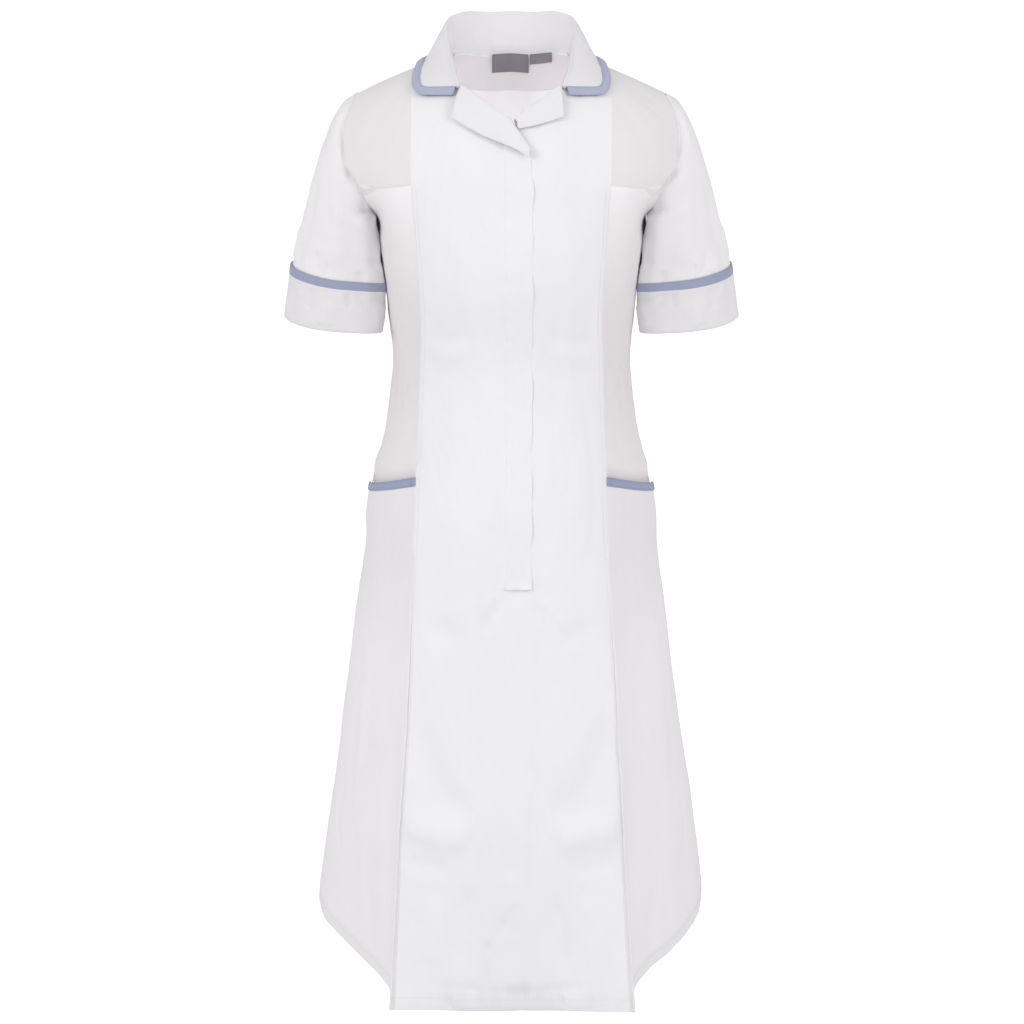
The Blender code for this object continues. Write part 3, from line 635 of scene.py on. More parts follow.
def turned_line(seam, roll, out, edge, count):
    """From a seam up to a roll line, over it and down to an edge."""
    up = Vector((0, 0, 1))
    tall = (roll - seam).length
    rise = min(FOLD, 0.4 * tall)
    line = [seam, seam.lerp(roll, 0.45), seam.lerp(roll, 1 - rise / tall)]
    line.append(roll + out * (FOLD * 0.7) + up * 0.0006)
    start = roll + out * (FOLD * 1.7) - up * 0.0012
    line.append(start)
    bend = start.lerp(edge, 0.45) + (up + out) * BULGE * (edge - start).length
    for k in range(1, count + 1):
        t = k / count
        line.append(start * (1 - t) ** 2 + bend * (2 * t * (1 - t)) + edge * t * t)
    return line


def collar_path():
    """Seam, roll and edge points of half the collar, centre back to notch, and its outward ways."""
    neck = [over_top(p.x, p.y) for p in NECK_BACK + NECK_FRONT[1 : NOTCH + 1]]
    up = Vector((0, 0, 1))
    stations = []
    for i, turn in enumerate(COLLAR):
        before, after = neck[max(i - 1, 0)], neck[min(i + 1, len(neck) - 1)]
        way = after - before
        out = Vector((-way.y, way.x, 0)).normalized()
        if i == 0:
            out = Vector((0, 1, 0))
        roll = neck[i] + up * turn.stand + out * turn.lean
        edge = over_top(turn.edge_x, turn.edge_y) + up * COLLAR_LIFT
        stations.append((neck[i] + up * 2 * SEAM_GAP, roll, out, edge))
    return stations


def finer(points, count=2):
    """Points between those of half a collar, smooth across its centre back."""
    return curve(points, count, True)


def straight(points, count=2):
    """Points on the straight runs between the given ones."""
    out = []
    for a, b in zip(points, points[1:]):
        out += [a.lerp(b, k / count) for k in range(count)]
    return out + [points[-1].copy()]


def edge_band(edges):
    """Inner edge of the collar's trim: the outer edge moved in by the trim's width in plan."""
    inner = []
    for i, point in enumerate(edges):
        before, after = edges[max(i - 1, 0)], edges[min(i + 1, len(edges) - 1)]
        way = after - before
        if i == 0:
            way = Vector((1, 0, 0))
        inward = Vector((way.y, -way.x, 0)).normalized()
        here = over_top(point.x, point.y)
        flat = point + inward * TRIM
        slope = (over_top(flat.x, flat.y) - here).length / TRIM
        spot = point + inward * (TRIM / slope)
        lift = point.z - here.z
        inner.append(over_top(spot.x, spot.y) + Vector((0, 0, lift + BAND_RISE)))
    return inner


def collar_rows():
    """Cross lines of the collar from the right notch round the back to the left notch, and its trim."""
    seams, rolls, outs, edges = zip(*collar_path())
    seams, rolls = straight(seams), finer(rolls)
    outs = [p.normalized() for p in finer(outs)]
    edges = finer(edges)
    inner = edge_band(edges)
    leaf, band = [], []
    for seam, roll, out, inside, outside in zip(seams, rolls, outs, inner, edges):
        leaf.append(turned_line(seam, roll, out, inside, 4))
        middle = inside.lerp(outside, 0.5) + Vector((0, 0, 0.0003))
        band.append([inside, middle, outside])
    band[-1] = [p + Vector((NOTCH_EASE, 0, 0)) for p in band[-1]]
    both = []
    for half in (leaf, band):
        other = [[Vector((-p.x, p.y, p.z)) for p in line] for line in reversed(half)]
        both.append(other[:-1] + half)
    return both


def rever_rows(table, side):
    """Cross lines of a rever from its notch to its lower end; side 1 is the left."""
    up = Vector((0, 0, 1))
    lines = []
    fine = []
    for a, b in zip(table, table[1:]):
        fine += [Leaf(*[mix(p, q, k / 2) for p, q in zip(a, b)]) for k in range(2)]
    fine.append(table[-1])
    for leaf in fine:
        seam = on_front(leaf.roll_x, leaf.roll_drop)
        lift = max(leaf.lift - REVER_ROLL, 0.0) + SEAM_GAP * 2
        seam = seam + up * lift + Vector((0, -lift, 0))
        edge = on_front(leaf.edge_x, leaf.edge_drop) + Vector((0, -leaf.lift, leaf.lift * 0.5))
        out = Vector((edge.x - seam.x, edge.y - seam.y, 0)).normalized()
        roll = seam + up * REVER_ROLL + Vector((0, -0.2 * REVER_ROLL, 0))
        lines.append(turned_line(seam, roll, out, edge, 3))
    if side < 0:
        lines = [[Vector((-p.x, p.y, p.z)) for p in line] for line in lines]
    return lines


def fly_rows():
    """Grid of the fly flap from the V down to its open end, stitch line to free edge."""
    xs = [mix(FLY_STITCH, FLY_EDGE, k / 3) for k in range(4)]
    drops = [level.princess for level in LEVELS if level.princess <= FLY_END]
    spots = []
    for k in range(4):
        share = k / 4
        line = []
        for (x, drop), at in zip(FLY_TOP, xs):
            line.append((mix(x, at, share), mix(drop, drops[0], share)))
        spots.append(line)
    spots += [[(x, drop) for x in xs] for drop in drops]
    return [[body(turn_at(x, drop), drop) for x, drop in line] for line in spots]


def facing_rows():
    """Grid of the back neck facing: the back's own upper points, moved in."""
    return [row[FACING_FROM:-FACING_FROM] for row in back_rows()[:FACING_ROWS]]


def label_rows(at, size):
    """Grid of a label that hangs inside the back from the neck seam."""
    width, height = size
    rows = []
    for k in range(3):
        line = []
        for c in range(3):
            x = at + width * (0.5 - c / 2)
            neck = over_top(x, neck_y(x))
            line.append(on_back(x, -neck.z + LABEL_DROP + height * k / 2))
        rows.append(line)
    return rows


def neck_y(x):
    """Y of the back neck seam at x."""
    for a, b in zip(NECK_BACK, NECK_BACK[1:]):
        if abs(x) <= b.x:
            return mix(a.y, b.y, (abs(x) - a.x) / (b.x - a.x))
    return SHOULDER_Y




# ---- fine surfaces

def spline(points, at, closed=False):
    """Points at fractional places along an array's first axis, on a smooth curve through it."""
    if closed:
        p = np.concatenate([points[-1:], points, points[:2]])
    else:
        p = np.concatenate([2 * points[:1] - points[1:2], points, 2 * points[-1:] - points[-2:-1]])
    step = p[1:] - p[:-1]
    reach = np.linalg.norm(step, axis=-1, keepdims=True) + 1e-9
    before, after = reach[:-1], reach[1:]
    speed = (step[:-1] / before * after + step[1:] / after * before) / (before + after)
    at = np.asarray(at, float)
    i = np.minimum(at.astype(int), len(speed) - 2)
    t = (at - i).reshape((-1,) + (1,) * (points.ndim - 1))
    a, b = p[i + 1], p[i + 2]
    lead, tail = speed[i] * reach[i + 1], speed[i + 1] * reach[i + 1]
    return (
        a * (1 + 2 * t) * (1 - t) ** 2
        + lead * t * (1 - t) ** 2
        + b * t * t * (3 - 2 * t)
        - tail * t * t * (1 - t)
    )


def places(count, steps, near_start=False, near_end=False):
    """Fractional places through count cells, closer together at the ends that are asked for."""
    inner = [k / steps for k in range(count * steps + 1)]
    close = (0.04, 0.09, 0.16)
    if near_start:
        inner += close
    if near_end:
        inner += [count - c for c in close]
    return np.array(sorted(set(inner)))


def fine(rows, axis, spacing, near_start=False, near_end=False):
    """Fractional places along an axis of a coarse grid, no further apart than the spacing in metres."""
    grid = np.array([[tuple(p) for p in row] for row in rows])
    reach = np.linalg.norm(np.diff(grid, axis=axis), axis=-1).max(axis=1 - axis)
    inner = [k + i / n for k, n in enumerate(np.ceil(reach / spacing).astype(int)) for i in range(n)]
    inner.append(float(len(reach)))
    close = (0.0006, 0.0015, 0.0030)
    if near_start:
        inner += [c / reach[0] for c in close]
    if near_end:
        inner += [len(reach) - c / reach[-1] for c in close]
    return np.array(sorted(set(inner)))


def patch(rows, down, across, closed=False):
    """A coarse grid of points drawn finer at the given places down and across."""
    grid = np.array([[tuple(p) for p in row] for row in rows])
    grid = spline(grid, down)
    return spline(grid.swapaxes(0, 1), across, closed).swapaxes(0, 1)


def facing_out(grid, closed=False):
    """Outward unit vectors of a fine grid whose rows run down."""
    down = np.gradient(grid, axis=0)
    if closed:
        across = (np.roll(grid, -1, 1) - np.roll(grid, 1, 1)) / 2
    else:
        across = np.gradient(grid, axis=1)
    normal = np.cross(down, across)
    return normal / (np.linalg.norm(normal, axis=-1, keepdims=True) + 1e-12)


def lengths(grid, axis, closed=False):
    """Distance along a grid from its first row or column."""
    step = np.linalg.norm(np.diff(grid, axis=axis), axis=-1)
    shape = list(grid.shape[:2])
    shape[axis] = 1
    return np.concatenate([np.zeros(shape), np.cumsum(step, axis=axis)], axis=axis)


# ---- creases

Crease = namedtuple("Crease", "spots width depth")


def outward(points):
    """A direction away from the wearer that changes smoothly from panel to panel."""
    x, y, z = points[..., 0], points[..., 1], points[..., 2]
    way = np.stack([0.6 * x, y - SHOULDER_Y, 0.9 * np.clip(z + ARMPIT, 0.0, None)], -1)
    return way / (np.linalg.norm(way, axis=-1, keepdims=True) + 1e-9)


def pushed(points, creases, place):
    """How far each point moves out for a list of soft troughs and ridges; place turns a spot into a point."""
    flat = points.reshape(-1, 3)
    total = np.zeros(len(flat))
    for crease in creases:
        line = spline(np.array([tuple(place(*s)) for s in crease.spots]), places(len(crease.spots) - 1, 6))
        reach = crease.width * 3
        near = np.all((flat > line.min(0) - reach) & (flat < line.max(0) + reach), axis=1)
        if not near.any():
            continue
        some = flat[near]
        best = np.full(len(some), 1e9)
        along_it = np.zeros(len(some))
        for k, (a, b) in enumerate(zip(line, line[1:])):
            way = b - a
            t = np.clip((some - a) @ way / (way @ way + 1e-12), 0, 1)
            gap = np.linalg.norm(some - (a + t[:, None] * way), axis=1)
            closer = gap < best
            best = np.where(closer, gap, best)
            along_it = np.where(closer, (k + t) / (len(line) - 1), along_it)
        ends = np.clip(np.minimum(along_it, 1 - along_it) * 4, 0, 1)
        ends = ends * ends * (3 - 2 * ends)
        total[near] += crease.depth * np.exp(-((best / crease.width) ** 2)) * ends
    return total.reshape(points.shape[:-1])


def drape(points):
    """Slow, shallow unevenness of hanging cloth."""
    x, y, z = points[..., 0], points[..., 1], points[..., 2]
    angle = np.arctan2(x, -(y - SHOULDER_Y))
    low = np.clip((-z - 0.20) / 0.5, 0, 1)
    slow = np.sin(9 * z + 3 * angle + 0.6) * np.sin(5 * angle - 7 * z)
    quick = np.sin(31 * z + 11 * angle) * np.sin(17 * z - 13 * angle + 1.1)
    ripple = np.sin(97 * z + 14 * np.sin(3 * angle + 11 * z)) * np.sin(23 * angle + 5 * np.sin(19 * z) + 0.4)
    return (0.0011 + 0.0014 * low) * slow + 0.0005 * quick + 0.00028 * ripple


# Troughs and ridges: spots, width and depth. On the body a spot is (turn, drop)
PAIRED_CREASES = (
    # Fold under the arm and the short crease beside it
    Crease(((-1.566, 0.1136), (-1.546, 0.1208), (-1.488, 0.1307), (-1.475, 0.1425), (-1.516, 0.1533)), 0.0028, -0.0066),
    Crease(((-1.579, 0.0553), (-1.586, 0.0692), (-1.586, 0.0845), (-1.566, 0.0978), (-1.548, 0.1123)), 0.0020, -0.0030),
    Crease(((-1.654, 0.0598), (-1.651, 0.0853), (-1.623, 0.1112)), 0.004, 0.0008),
    Crease(((-1.542, 0.1458), (-1.391, 0.1402), (-1.267, 0.1342)), 0.0024, -0.0042),
    Crease(((-1.95, 0.168), (-2.0, 0.192), (-2.0, 0.216), (-2.0, 0.246)), 0.0125, 0.0038),
    # Short upright creases beside the princess seam at the waist
    Crease(((-1.397, 0.3322), (-1.328, 0.3616), (-1.312, 0.3938)), 0.0034, -0.003),
    Crease(((-1.234, 0.3484), (-1.187, 0.3824)), 0.0018, -0.00135),
    Crease(((-1.304, 0.3354), (-1.25, 0.3742)), 0.0018, 0.00105),
    Crease(((-1.668, 0.3468), (-1.51, 0.3813)), 0.004, -0.0012),
    # Soft level hollows at the waist
    Crease(((-1.86, 0.31), (-1.517, 0.3055), (-1.173, 0.303)), 0.008, -0.00216),
    Crease(((-0.971, 0.2988), (-0.589, 0.2996), (-0.283, 0.2907)), 0.009, -0.00162),
    Crease(((-0.933, 0.3177), (-0.631, 0.3192), (-0.322, 0.3123)), 0.01, 0.00126),
    # Hollows and the bright fold of the lower front
    Crease(((-0.817, 0.6268), (-0.577, 0.6408), (-0.342, 0.6463)), 0.016, -0.00304),
    Crease(((-0.861, 0.7254), (-0.771, 0.7903), (-0.554, 0.8371), (-0.253, 0.8554)), 0.0190, -0.0046),
    Crease(((-0.990, 0.8700), (-0.695, 0.8750), (-0.300, 0.8900)), 0.0190, 0.0078),
    Crease(((-0.935, 0.9154), (-0.706, 0.9189), (-0.511, 0.9278)), 0.009, -0.0019),
    Crease(((-0.338, 0.9347), (-0.404, 0.9974), (-0.46, 1.058)), 0.012, -0.00266),
    Crease(((-0.631, 0.9482), (-0.659, 0.998), (-0.684, 1.0545)), 0.013, 0.0019),
    # Side seam, drawn out by the pocket
    Crease(((-2.0, 0.450), (-2.0, 0.496), (-2.0, 0.560)), 0.0300, 0.0034),
    # Side skirt
    Crease(((-1.23, 0.5166), (-1.244, 0.6632), (-1.275, 0.8173)), 0.013, -0.0016),
    Crease(((-1.535, 0.6281), (-1.538, 0.7872), (-1.547, 0.9411)), 0.015, 0.00224),
    Crease(((-1.354, 0.9176), (-1.378, 1.0027), (-1.317, 1.0492)), 0.012, -0.00224),
    Crease(((-1.708, 0.8745), (-1.697, 0.9612), (-1.617, 0.997)), 0.009, -0.00192),
)
FRONT_CREASES = (
    # Drag lines below the fly's open end
    Crease(((-0.07, 0.5890), (0.04, 0.5895), (0.15, 0.5900)), 0.0026, -0.0020),
    Crease(((-0.079, 0.5913), (-0.171, 0.6009), (-0.305, 0.6249)), 0.0036, 0.00187),
    Crease(((-0.188, 0.5939), (-0.324, 0.6038), (-0.449, 0.6116)), 0.0046, 0.00153),
    Crease(((-0.02, 0.5924), (-0.129, 0.6125), (-0.206, 0.641)), 0.006, -0.0017),
    Crease(((0.201, 0.5939), (0.338, 0.6109), (0.551, 0.6429)), 0.006, 0.00153),
    Crease(((0.174, 0.5985), (0.237, 0.6269), (0.246, 0.6719)), 0.005, -0.0017),
    Crease(((0.067, 0.596), (0.052, 0.6171), (0.084, 0.6431)), 0.006, 0.00119),
    # Centre front below the fly
    Crease(((0.168, 0.7026), (0.187, 0.7869), (0.18, 0.8725)), 0.004, -0.00144),
    Crease(((0.146, 0.8356), (0.181, 0.8972), (0.157, 0.9656)), 0.005, -0.00216),
    Crease(((-0.024, 0.9194), (0.005, 0.9593), (-0.057, 0.997)), 0.015, 0.00252),
    Crease(((0.084, 0.9618), (-0.033, 0.9844), (-0.106, 1.0122)), 0.006, -0.0018),
    Crease(((-0.204, 1.0072), (-0.18, 1.0413), (-0.205, 1.0783)), 0.0055, -0.0036),
    Crease(((0.367, 0.9597), (0.416, 1.01), (0.447, 1.0669)), 0.01, -0.00216),
    # Hem, drawn in above its stitches and rolled out below, with two short pulls
    Crease(((-0.520, 1.0840), (-0.470, 1.0980)), 0.0026, -0.0030),
    Crease(((0.400, 1.0820), (0.470, 1.0980)), 0.0026, -0.0030),
    Crease(((-0.950, 1.0850), (-0.350, 1.0856), (0.350, 1.0852), (0.950, 1.0850)), 0.0016, -0.0010),
    Crease(((-0.765, 1.0672), (-0.336, 1.0745), (-0.002, 1.077), (0.397, 1.0745), (0.777, 1.066)), 0.006, -0.0033),
    Crease(((-0.809, 1.0912), (-0.336, 1.093), (-0.002, 1.0936), (0.396, 1.093), (0.805, 1.0912)), 0.005, 0.0021),
)
# On a sleeve and on its cuff a spot is (step round it, share of the way down)
SLEEVE_CREASES = (
    Crease(((9.8, 0.06), (9.9, 0.36), (10.1, 0.74)), 0.0170, 0.0073),
    Crease(((9.4, 0.16), (8.6, 0.30), (7.6, 0.44)), 0.0060, -0.00256),
    Crease(((3.0, 0.50), (2.7, 0.74), (2.4, 0.97)), 0.0100, -0.0032),
    Crease(((6.6, 0.38), (6.3, 0.66), (6.1, 0.94)), 0.0120, 0.0032),
    Crease(((8.8, 0.46), (8.6, 0.68), (8.2, 0.90)), 0.0070, -0.00256),
    Crease(((9.8, 0.78), (9.4, 0.92)), 0.0030, -0.00326),
    Crease(((4.4, 0.84), (4.6, 1.00)), 0.0040, -0.00245),
    Crease(((2.0, 0.88), (2.1, 1.00)), 0.0034, -0.00272),
    Crease(((3.2, 0.90), (3.4, 1.00)), 0.0030, 0.0019),
    Crease(((5.4, 0.90), (5.3, 1.00)), 0.0030, -0.00218),
    Crease(((7.4, 0.90), (7.3, 1.00)), 0.0034, -0.00245),
    Crease(((0.8, 0.80), (0.9, 0.99)), 0.0050, 0.00272),
    Crease(((15.0, 0.18), (16.0, 0.34), (17.2, 0.46)), 0.0060, -0.00224),
    Crease(((17.4, 0.40), (17.6, 0.70), (17.9, 0.95)), 0.0110, 0.00288),
    Crease(((20.6, 0.52), (21.0, 0.76), (21.2, 0.97)), 0.0100, -0.00288),
    Crease(((15.6, 0.50), (15.4, 0.72), (15.7, 0.92)), 0.0070, -0.0024),
    Crease(((19.3, 0.88), (19.2, 1.00)), 0.0034, -0.00245),
    Crease(((22.6, 0.88), (22.5, 1.00)), 0.0034, -0.00218),
)
# On the collar a spot is (place along the neck, place across), counted in its coarse points
COLLAR_CREASES = (
    Crease(((11.4, 2.8), (10.4, 2.2), (9.2, 1.2)), 0.0022, -0.0012),
    Crease(((20.6, 2.8), (21.6, 2.2), (22.8, 1.2)), 0.0022, -0.0012),
    Crease(((8.2, 2.0), (7.4, 5.0), (7.0, 8.0)), 0.0060, 0.0010),
    Crease(((23.8, 2.0), (24.6, 5.0), (25.0, 8.0)), 0.0060, 0.0010),
    Crease(((14.0, 5.0), (14.4, 8.0)), 0.0080, -0.0008),
    Crease(((18.4, 5.0), (18.0, 8.0)), 0.0080, -0.0008),
)
CUFF_CREASES = (
    Crease(((1.9, 0.10), (2.2, 0.46), (2.1, 0.86)), 0.0050, -0.00354),
    Crease(((3.0, 0.04), (3.2, 0.40)), 0.0034, 0.0019),
    Crease(((4.3, 0.06), (4.2, 0.60)), 0.0044, -0.00218),
    Crease(((6.8, 0.03), (6.9, 0.42)), 0.0028, -0.00272),
    Crease(((7.4, 0.04), (7.5, 0.34)), 0.0024, -0.00218),
    Crease(((8.8, 0.20), (8.7, 0.90)), 0.0080, 0.00272),
    Crease(((5.6, 0.30), (5.5, 0.92)), 0.0090, 0.00245),
    Crease(((13.8, 0.06), (14.1, 0.60)), 0.0050, -0.00245),
    Crease(((16.6, 0.04), (16.4, 0.40)), 0.0030, -0.00245),
    Crease(((18.9, 0.20), (19.1, 0.90)), 0.0080, 0.00245),
    Crease(((21.8, 0.05), (22.1, 0.70)), 0.0050, -0.00299),
)


def moved(crease, place, change):
    """The crease with each spot moved and its depth changed."""
    return Crease(tuple(place(*spot) for spot in crease.spots), crease.width, crease.depth * change)


def body_creases():
    """Every crease of the body: as given, on the other side, and their like on the back."""
    front = PAIRED_CREASES + FRONT_CREASES
    other = [moved(c, lambda turn, drop: (-turn, drop + 0.002), 0.9) for c in PAIRED_CREASES]
    middle = [c for c in front + tuple(other) if max(abs(turn) for turn, _ in c.spots) < 1.05]
    back = [
        moved(c, lambda turn, drop: (math.copysign(3.0 - abs(turn), turn), min(drop + 0.012, HEM)), 0.8)
        for c in middle
    ]
    folds = [moved(c, lambda turn, drop: (math.copysign(4.0 - abs(turn), turn), drop), 0.9)
             for c in PAIRED_CREASES[:2]]
    folds += [moved(c, lambda turn, drop: (-turn, drop), 1.0) for c in folds]
    puckers = [
        Crease(((-0.085, drop), (0.005, drop + 0.002)), 0.0036, -0.0005 - 0.0002 * (k % 3))
        for k, drop in enumerate(np.arange(0.112, 0.575, 0.0235).tolist())
    ]
    gathers = [
        Crease(((turn, 1.071), (turn + 0.012, 1.092)), 0.0024, depth)
        for turn, depth in zip(
            (-0.62, -0.52, -0.40, -0.31, -0.24, -0.13, -0.05, 0.03, 0.11, 0.22, 0.30, 0.42, 0.55, 0.66),
            (-.0008, .0007, -.0011, .0008, -.0013, .0010, -.0012, .0009, -.0014, .0010, -.0011, .0008, -.0010, .0007),
        )
    ]
    gathers += [moved(c, lambda turn, drop: (math.copysign(3.0 - abs(turn), turn), drop), 0.9) for c in gathers]
    return front + tuple(other + back + folds + puckers + gathers)


BODY_CREASES = body_creases()


def draped(grid):
    """A fine grid of the body with its creases."""
    amount = pushed(grid, BODY_CREASES, body) + drape(grid)
    return grid + outward(grid) * amount[..., None]


def on_rings(grid, side):
    """Finds a point of a sleeve's fine grid from a step round it and a share of the way down."""
    high, wide = grid.shape[:2]

    def place(step, share):
        step = ARMHOLE_STEPS - 1 - step if side > 0 else step
        return grid[round(share * (high - 1)), round(step / ARMHOLE_STEPS * wide) % wide]

    return place


# ---- meshes

def wall_mesh(name, outer, wall, closed=False, layers_and_shade=None):
    """A closed thin wall from a fine outer grid, with round rims and its UV map in metres."""
    normal = facing_out(outer, closed)
    wall = np.broadcast_to(np.asarray(wall, float), outer.shape[:2])[..., None]
    inner = outer - normal * wall
    high, wide = outer.shape[:2]
    across, down = lengths(outer, 1), lengths(outer, 0)
    points = [outer.reshape(-1, 3), inner.reshape(-1, 3)]
    uvs = np.stack([across, down], -1).reshape(-1, 2)
    uvs = [uvs, uvs]
    ids = np.arange(high * wide).reshape(high, wide)
    back = ids + high * wide
    faces = []

    def quads(a, b, c, d):
        faces.append(np.stack([np.ravel(v) for v in (a, b, c, d)], -1))

    def turn(grid_ids):
        return np.concatenate([grid_ids, grid_ids[:, :1]], 1) if closed else grid_ids

    f, r = turn(ids), turn(back)
    quads(f[:-1, :-1], f[1:, :-1], f[1:, 1:], f[:-1, 1:])
    quads(r[:-1, :-1], r[:-1, 1:], r[1:, 1:], r[1:, :-1])
    rim_start = 2 * high * wide
    if closed:
        loops = [(ids[0], ids[1]), (ids[-1][::-1], ids[-2][::-1])]
    else:
        around = np.concatenate([ids[0], ids[1:, -1], ids[-1, -2::-1], ids[-2:0:-1, 0]])
        within = np.concatenate([
            [ids[1, 1]], ids[1, 1:-1], [ids[1, -2]], ids[1:-1, -2], [ids[-2, -2]],
            ids[-2, -2:0:-1], [ids[-2, 1]], ids[-2:0:-1, 1],
        ])
        loops = [(around, within)]
    for edge, inside in loops:
        front, rear = outer.reshape(-1, 3)[edge], inner.reshape(-1, 3)[edge]
        away = front - outer.reshape(-1, 3)[inside]
        away /= np.linalg.norm(away, axis=1, keepdims=True) + 1e-12
        middle = (front + rear) / 2 + away * wall.reshape(-1, 1)[edge] * 0.45
        points.append(middle)
        uvs.append(uvs[0][edge])
        m = rim_start + np.arange(len(edge))
        rim_start += len(edge)
        a, b = edge, np.roll(edge, -1)
        c, d = m, np.roll(m, -1)
        quads(a, b, d, c)
        quads(c, d, b + high * wide, a + high * wide)
    mesh = bpy.data.meshes.new(name)
    corners = np.concatenate(faces)
    mesh.from_pydata(np.concatenate(points).tolist(), [], corners.tolist())
    all_uvs = np.concatenate(uvs)
    loops_uv = all_uvs[corners.ravel()]
    if closed:
        girth = across[:, -1].mean() + np.linalg.norm(outer[0, 0] - outer[0, -1])
        u = loops_uv[:, 0].reshape(-1, 4)
        wraps = (u.max(1) - u.min(1)) > girth / 2
        u[wraps] = np.where(u[wraps] < girth / 2, u[wraps] + girth, u[wraps])
        loops_uv[:, 0] = u.ravel()
    mesh.uv_layers.new(name="Cloth").data.foreach_set("uv", loops_uv.astype(np.float32).ravel())
    if layers_and_shade is not None:
        shade = np.concatenate([layers_and_shade.ravel(), layers_and_shade.ravel()] + [layers_and_shade.ravel()[e] for e, _ in loops])
        mesh.attributes.new("layers_and_shade", "FLOAT", "POINT").data.foreach_set("value", shade.astype(np.float32))
    mesh.shade_smooth()
    piece = bpy.data.objects.new(name, mesh)
    bpy.context.scene.collection.objects.link(piece)
    return piece


def under(grid, edge, reach=0.003, depth=0.0010, closed=False):
    """The grid with one more line past an edge, sunk to pass beneath its neighbour."""
    normal = facing_out(grid, closed)
    at, after, axis = {
        "left": ((slice(None), 0), (slice(None), 1), 1),
        "right": ((slice(None), -1), (slice(None), -2), 1),
        "top": ((0,), (1,), 0),
        "bottom": ((-1,), (-2,), 0),
    }[edge]
    way = grid[at] - grid[after]
    way /= np.linalg.norm(way, axis=-1, keepdims=True) + 1e-12
    extra = np.expand_dims(grid[at] + way * reach - normal[at] * depth, axis)
    order = [extra, grid] if edge in ("left", "top") else [grid, extra]
    return np.concatenate(order, axis)


def beside(grid, edge, distance, lift=0.00015):
    """Line of points at a distance in from one edge of a fine grid, just above the cloth."""
    grid = grid + facing_out(grid) * lift
    if edge in ("top", "bottom"):
        grid = grid.swapaxes(0, 1)
    if edge in ("right", "bottom"):
        grid = grid[:, ::-1]
    run = lengths(grid, 1)
    return np.array([
        [np.interp(distance, run[r], grid[r, :, k]) for k in range(3)] for r in range(len(grid))
    ])


# ---- stitches

def stitch_tree():
    """Geometry nodes that lay a row of stitches along a line of points."""
    tree = bpy.data.node_groups.new("Stitch row", "GeometryNodeTree")
    for name, kind, value in (
        ("Line", "NodeSocketGeometry", None),
        ("Pitch", "NodeSocketFloat", 0.0030),
        ("Length", "NodeSocketFloat", 0.0024),
        ("Thickness", "NodeSocketFloat", 0.00045),
        ("Thread", "NodeSocketMaterial", None),
    ):
        socket = tree.interface.new_socket(name, in_out="INPUT", socket_type=kind)
        if value is not None:
            socket.default_value = value
    tree.interface.new_socket("Stitches", in_out="OUTPUT", socket_type="NodeSocketGeometry")
    nodes, join = tree.nodes, tree.links.new
    given, result = nodes.new("NodeGroupInput"), nodes.new("NodeGroupOutput")
    curve_of = nodes.new("GeometryNodeMeshToCurve")
    spots = nodes.new("GeometryNodeCurveToPoints")
    spots.mode = "LENGTH"
    bead = nodes.new("GeometryNodeMeshUVSphere")
    bead.inputs["Segments"].default_value = 6
    bead.inputs["Rings"].default_value = 4
    bead.inputs["Radius"].default_value = 0.5
    size = nodes.new("ShaderNodeCombineXYZ")
    shape = nodes.new("GeometryNodeTransform")
    lay = nodes.new("GeometryNodeInstanceOnPoints")
    real = nodes.new("GeometryNodeRealizeInstances")
    colour = nodes.new("GeometryNodeSetMaterial")
    soft = nodes.new("GeometryNodeSetShadeSmooth")
    join(given.outputs["Line"], curve_of.inputs["Mesh"])
    join(curve_of.outputs["Curve"], spots.inputs["Curve"])
    join(given.outputs["Pitch"], spots.inputs["Length"])
    join(given.outputs["Thickness"], size.inputs["X"])
    join(given.outputs["Thickness"], size.inputs["Y"])
    join(given.outputs["Length"], size.inputs["Z"])
    join(bead.outputs["Mesh"], shape.inputs["Geometry"])
    join(size.outputs["Vector"], shape.inputs["Scale"])
    join(spots.outputs["Points"], lay.inputs["Points"])
    join(shape.outputs["Geometry"], lay.inputs["Instance"])
    join(spots.outputs["Rotation"], lay.inputs["Rotation"])
    join(lay.outputs["Instances"], real.inputs["Geometry"])
    join(real.outputs["Geometry"], soft.inputs["Geometry"])
    join(soft.outputs["Geometry"], colour.inputs["Geometry"])
    join(given.outputs["Thread"], colour.inputs["Material"])
    join(colour.outputs["Geometry"], result.inputs["Stitches"])
    return tree


def sew(name, paths, thread, pitch=0.0030, length=0.0024, thickness=0.00045):
    """One mesh of stitches along several lines of points."""
    mesh = bpy.data.meshes.new(name + "_line")
    points, edges = [], []
    for path in paths:
        start = len(points)
        points += [tuple(p) for p in path]
        edges += [(start + k, start + k + 1) for k in range(len(path) - 1)]
    mesh.from_pydata(points, edges, [])
    carrier = bpy.data.objects.new(name + "_line", mesh)
    bpy.context.scene.collection.objects.link(carrier)
    row = carrier.modifiers.new("Stitches", "NODES")
    row.node_group = STITCH_TREE
    sizes = {"Pitch": pitch, "Length": length, "Thickness": thickness, "Thread": thread}
    for socket in STITCH_TREE.interface.items_tree:
        if socket.in_out == "INPUT" and socket.name in sizes:
            row[socket.identifier] = sizes[socket.name]
    graph = bpy.context.evaluated_depsgraph_get()
    made = bpy.data.meshes.new_from_object(carrier.evaluated_get(graph), depsgraph=graph)
    bpy.data.objects.remove(carrier, do_unlink=True)
    made.name = name
    piece = bpy.data.objects.new(name, made)
    bpy.context.scene.collection.objects.link(piece)
    return piece


STITCH_TREE = stitch_tree()


# ---- finishes

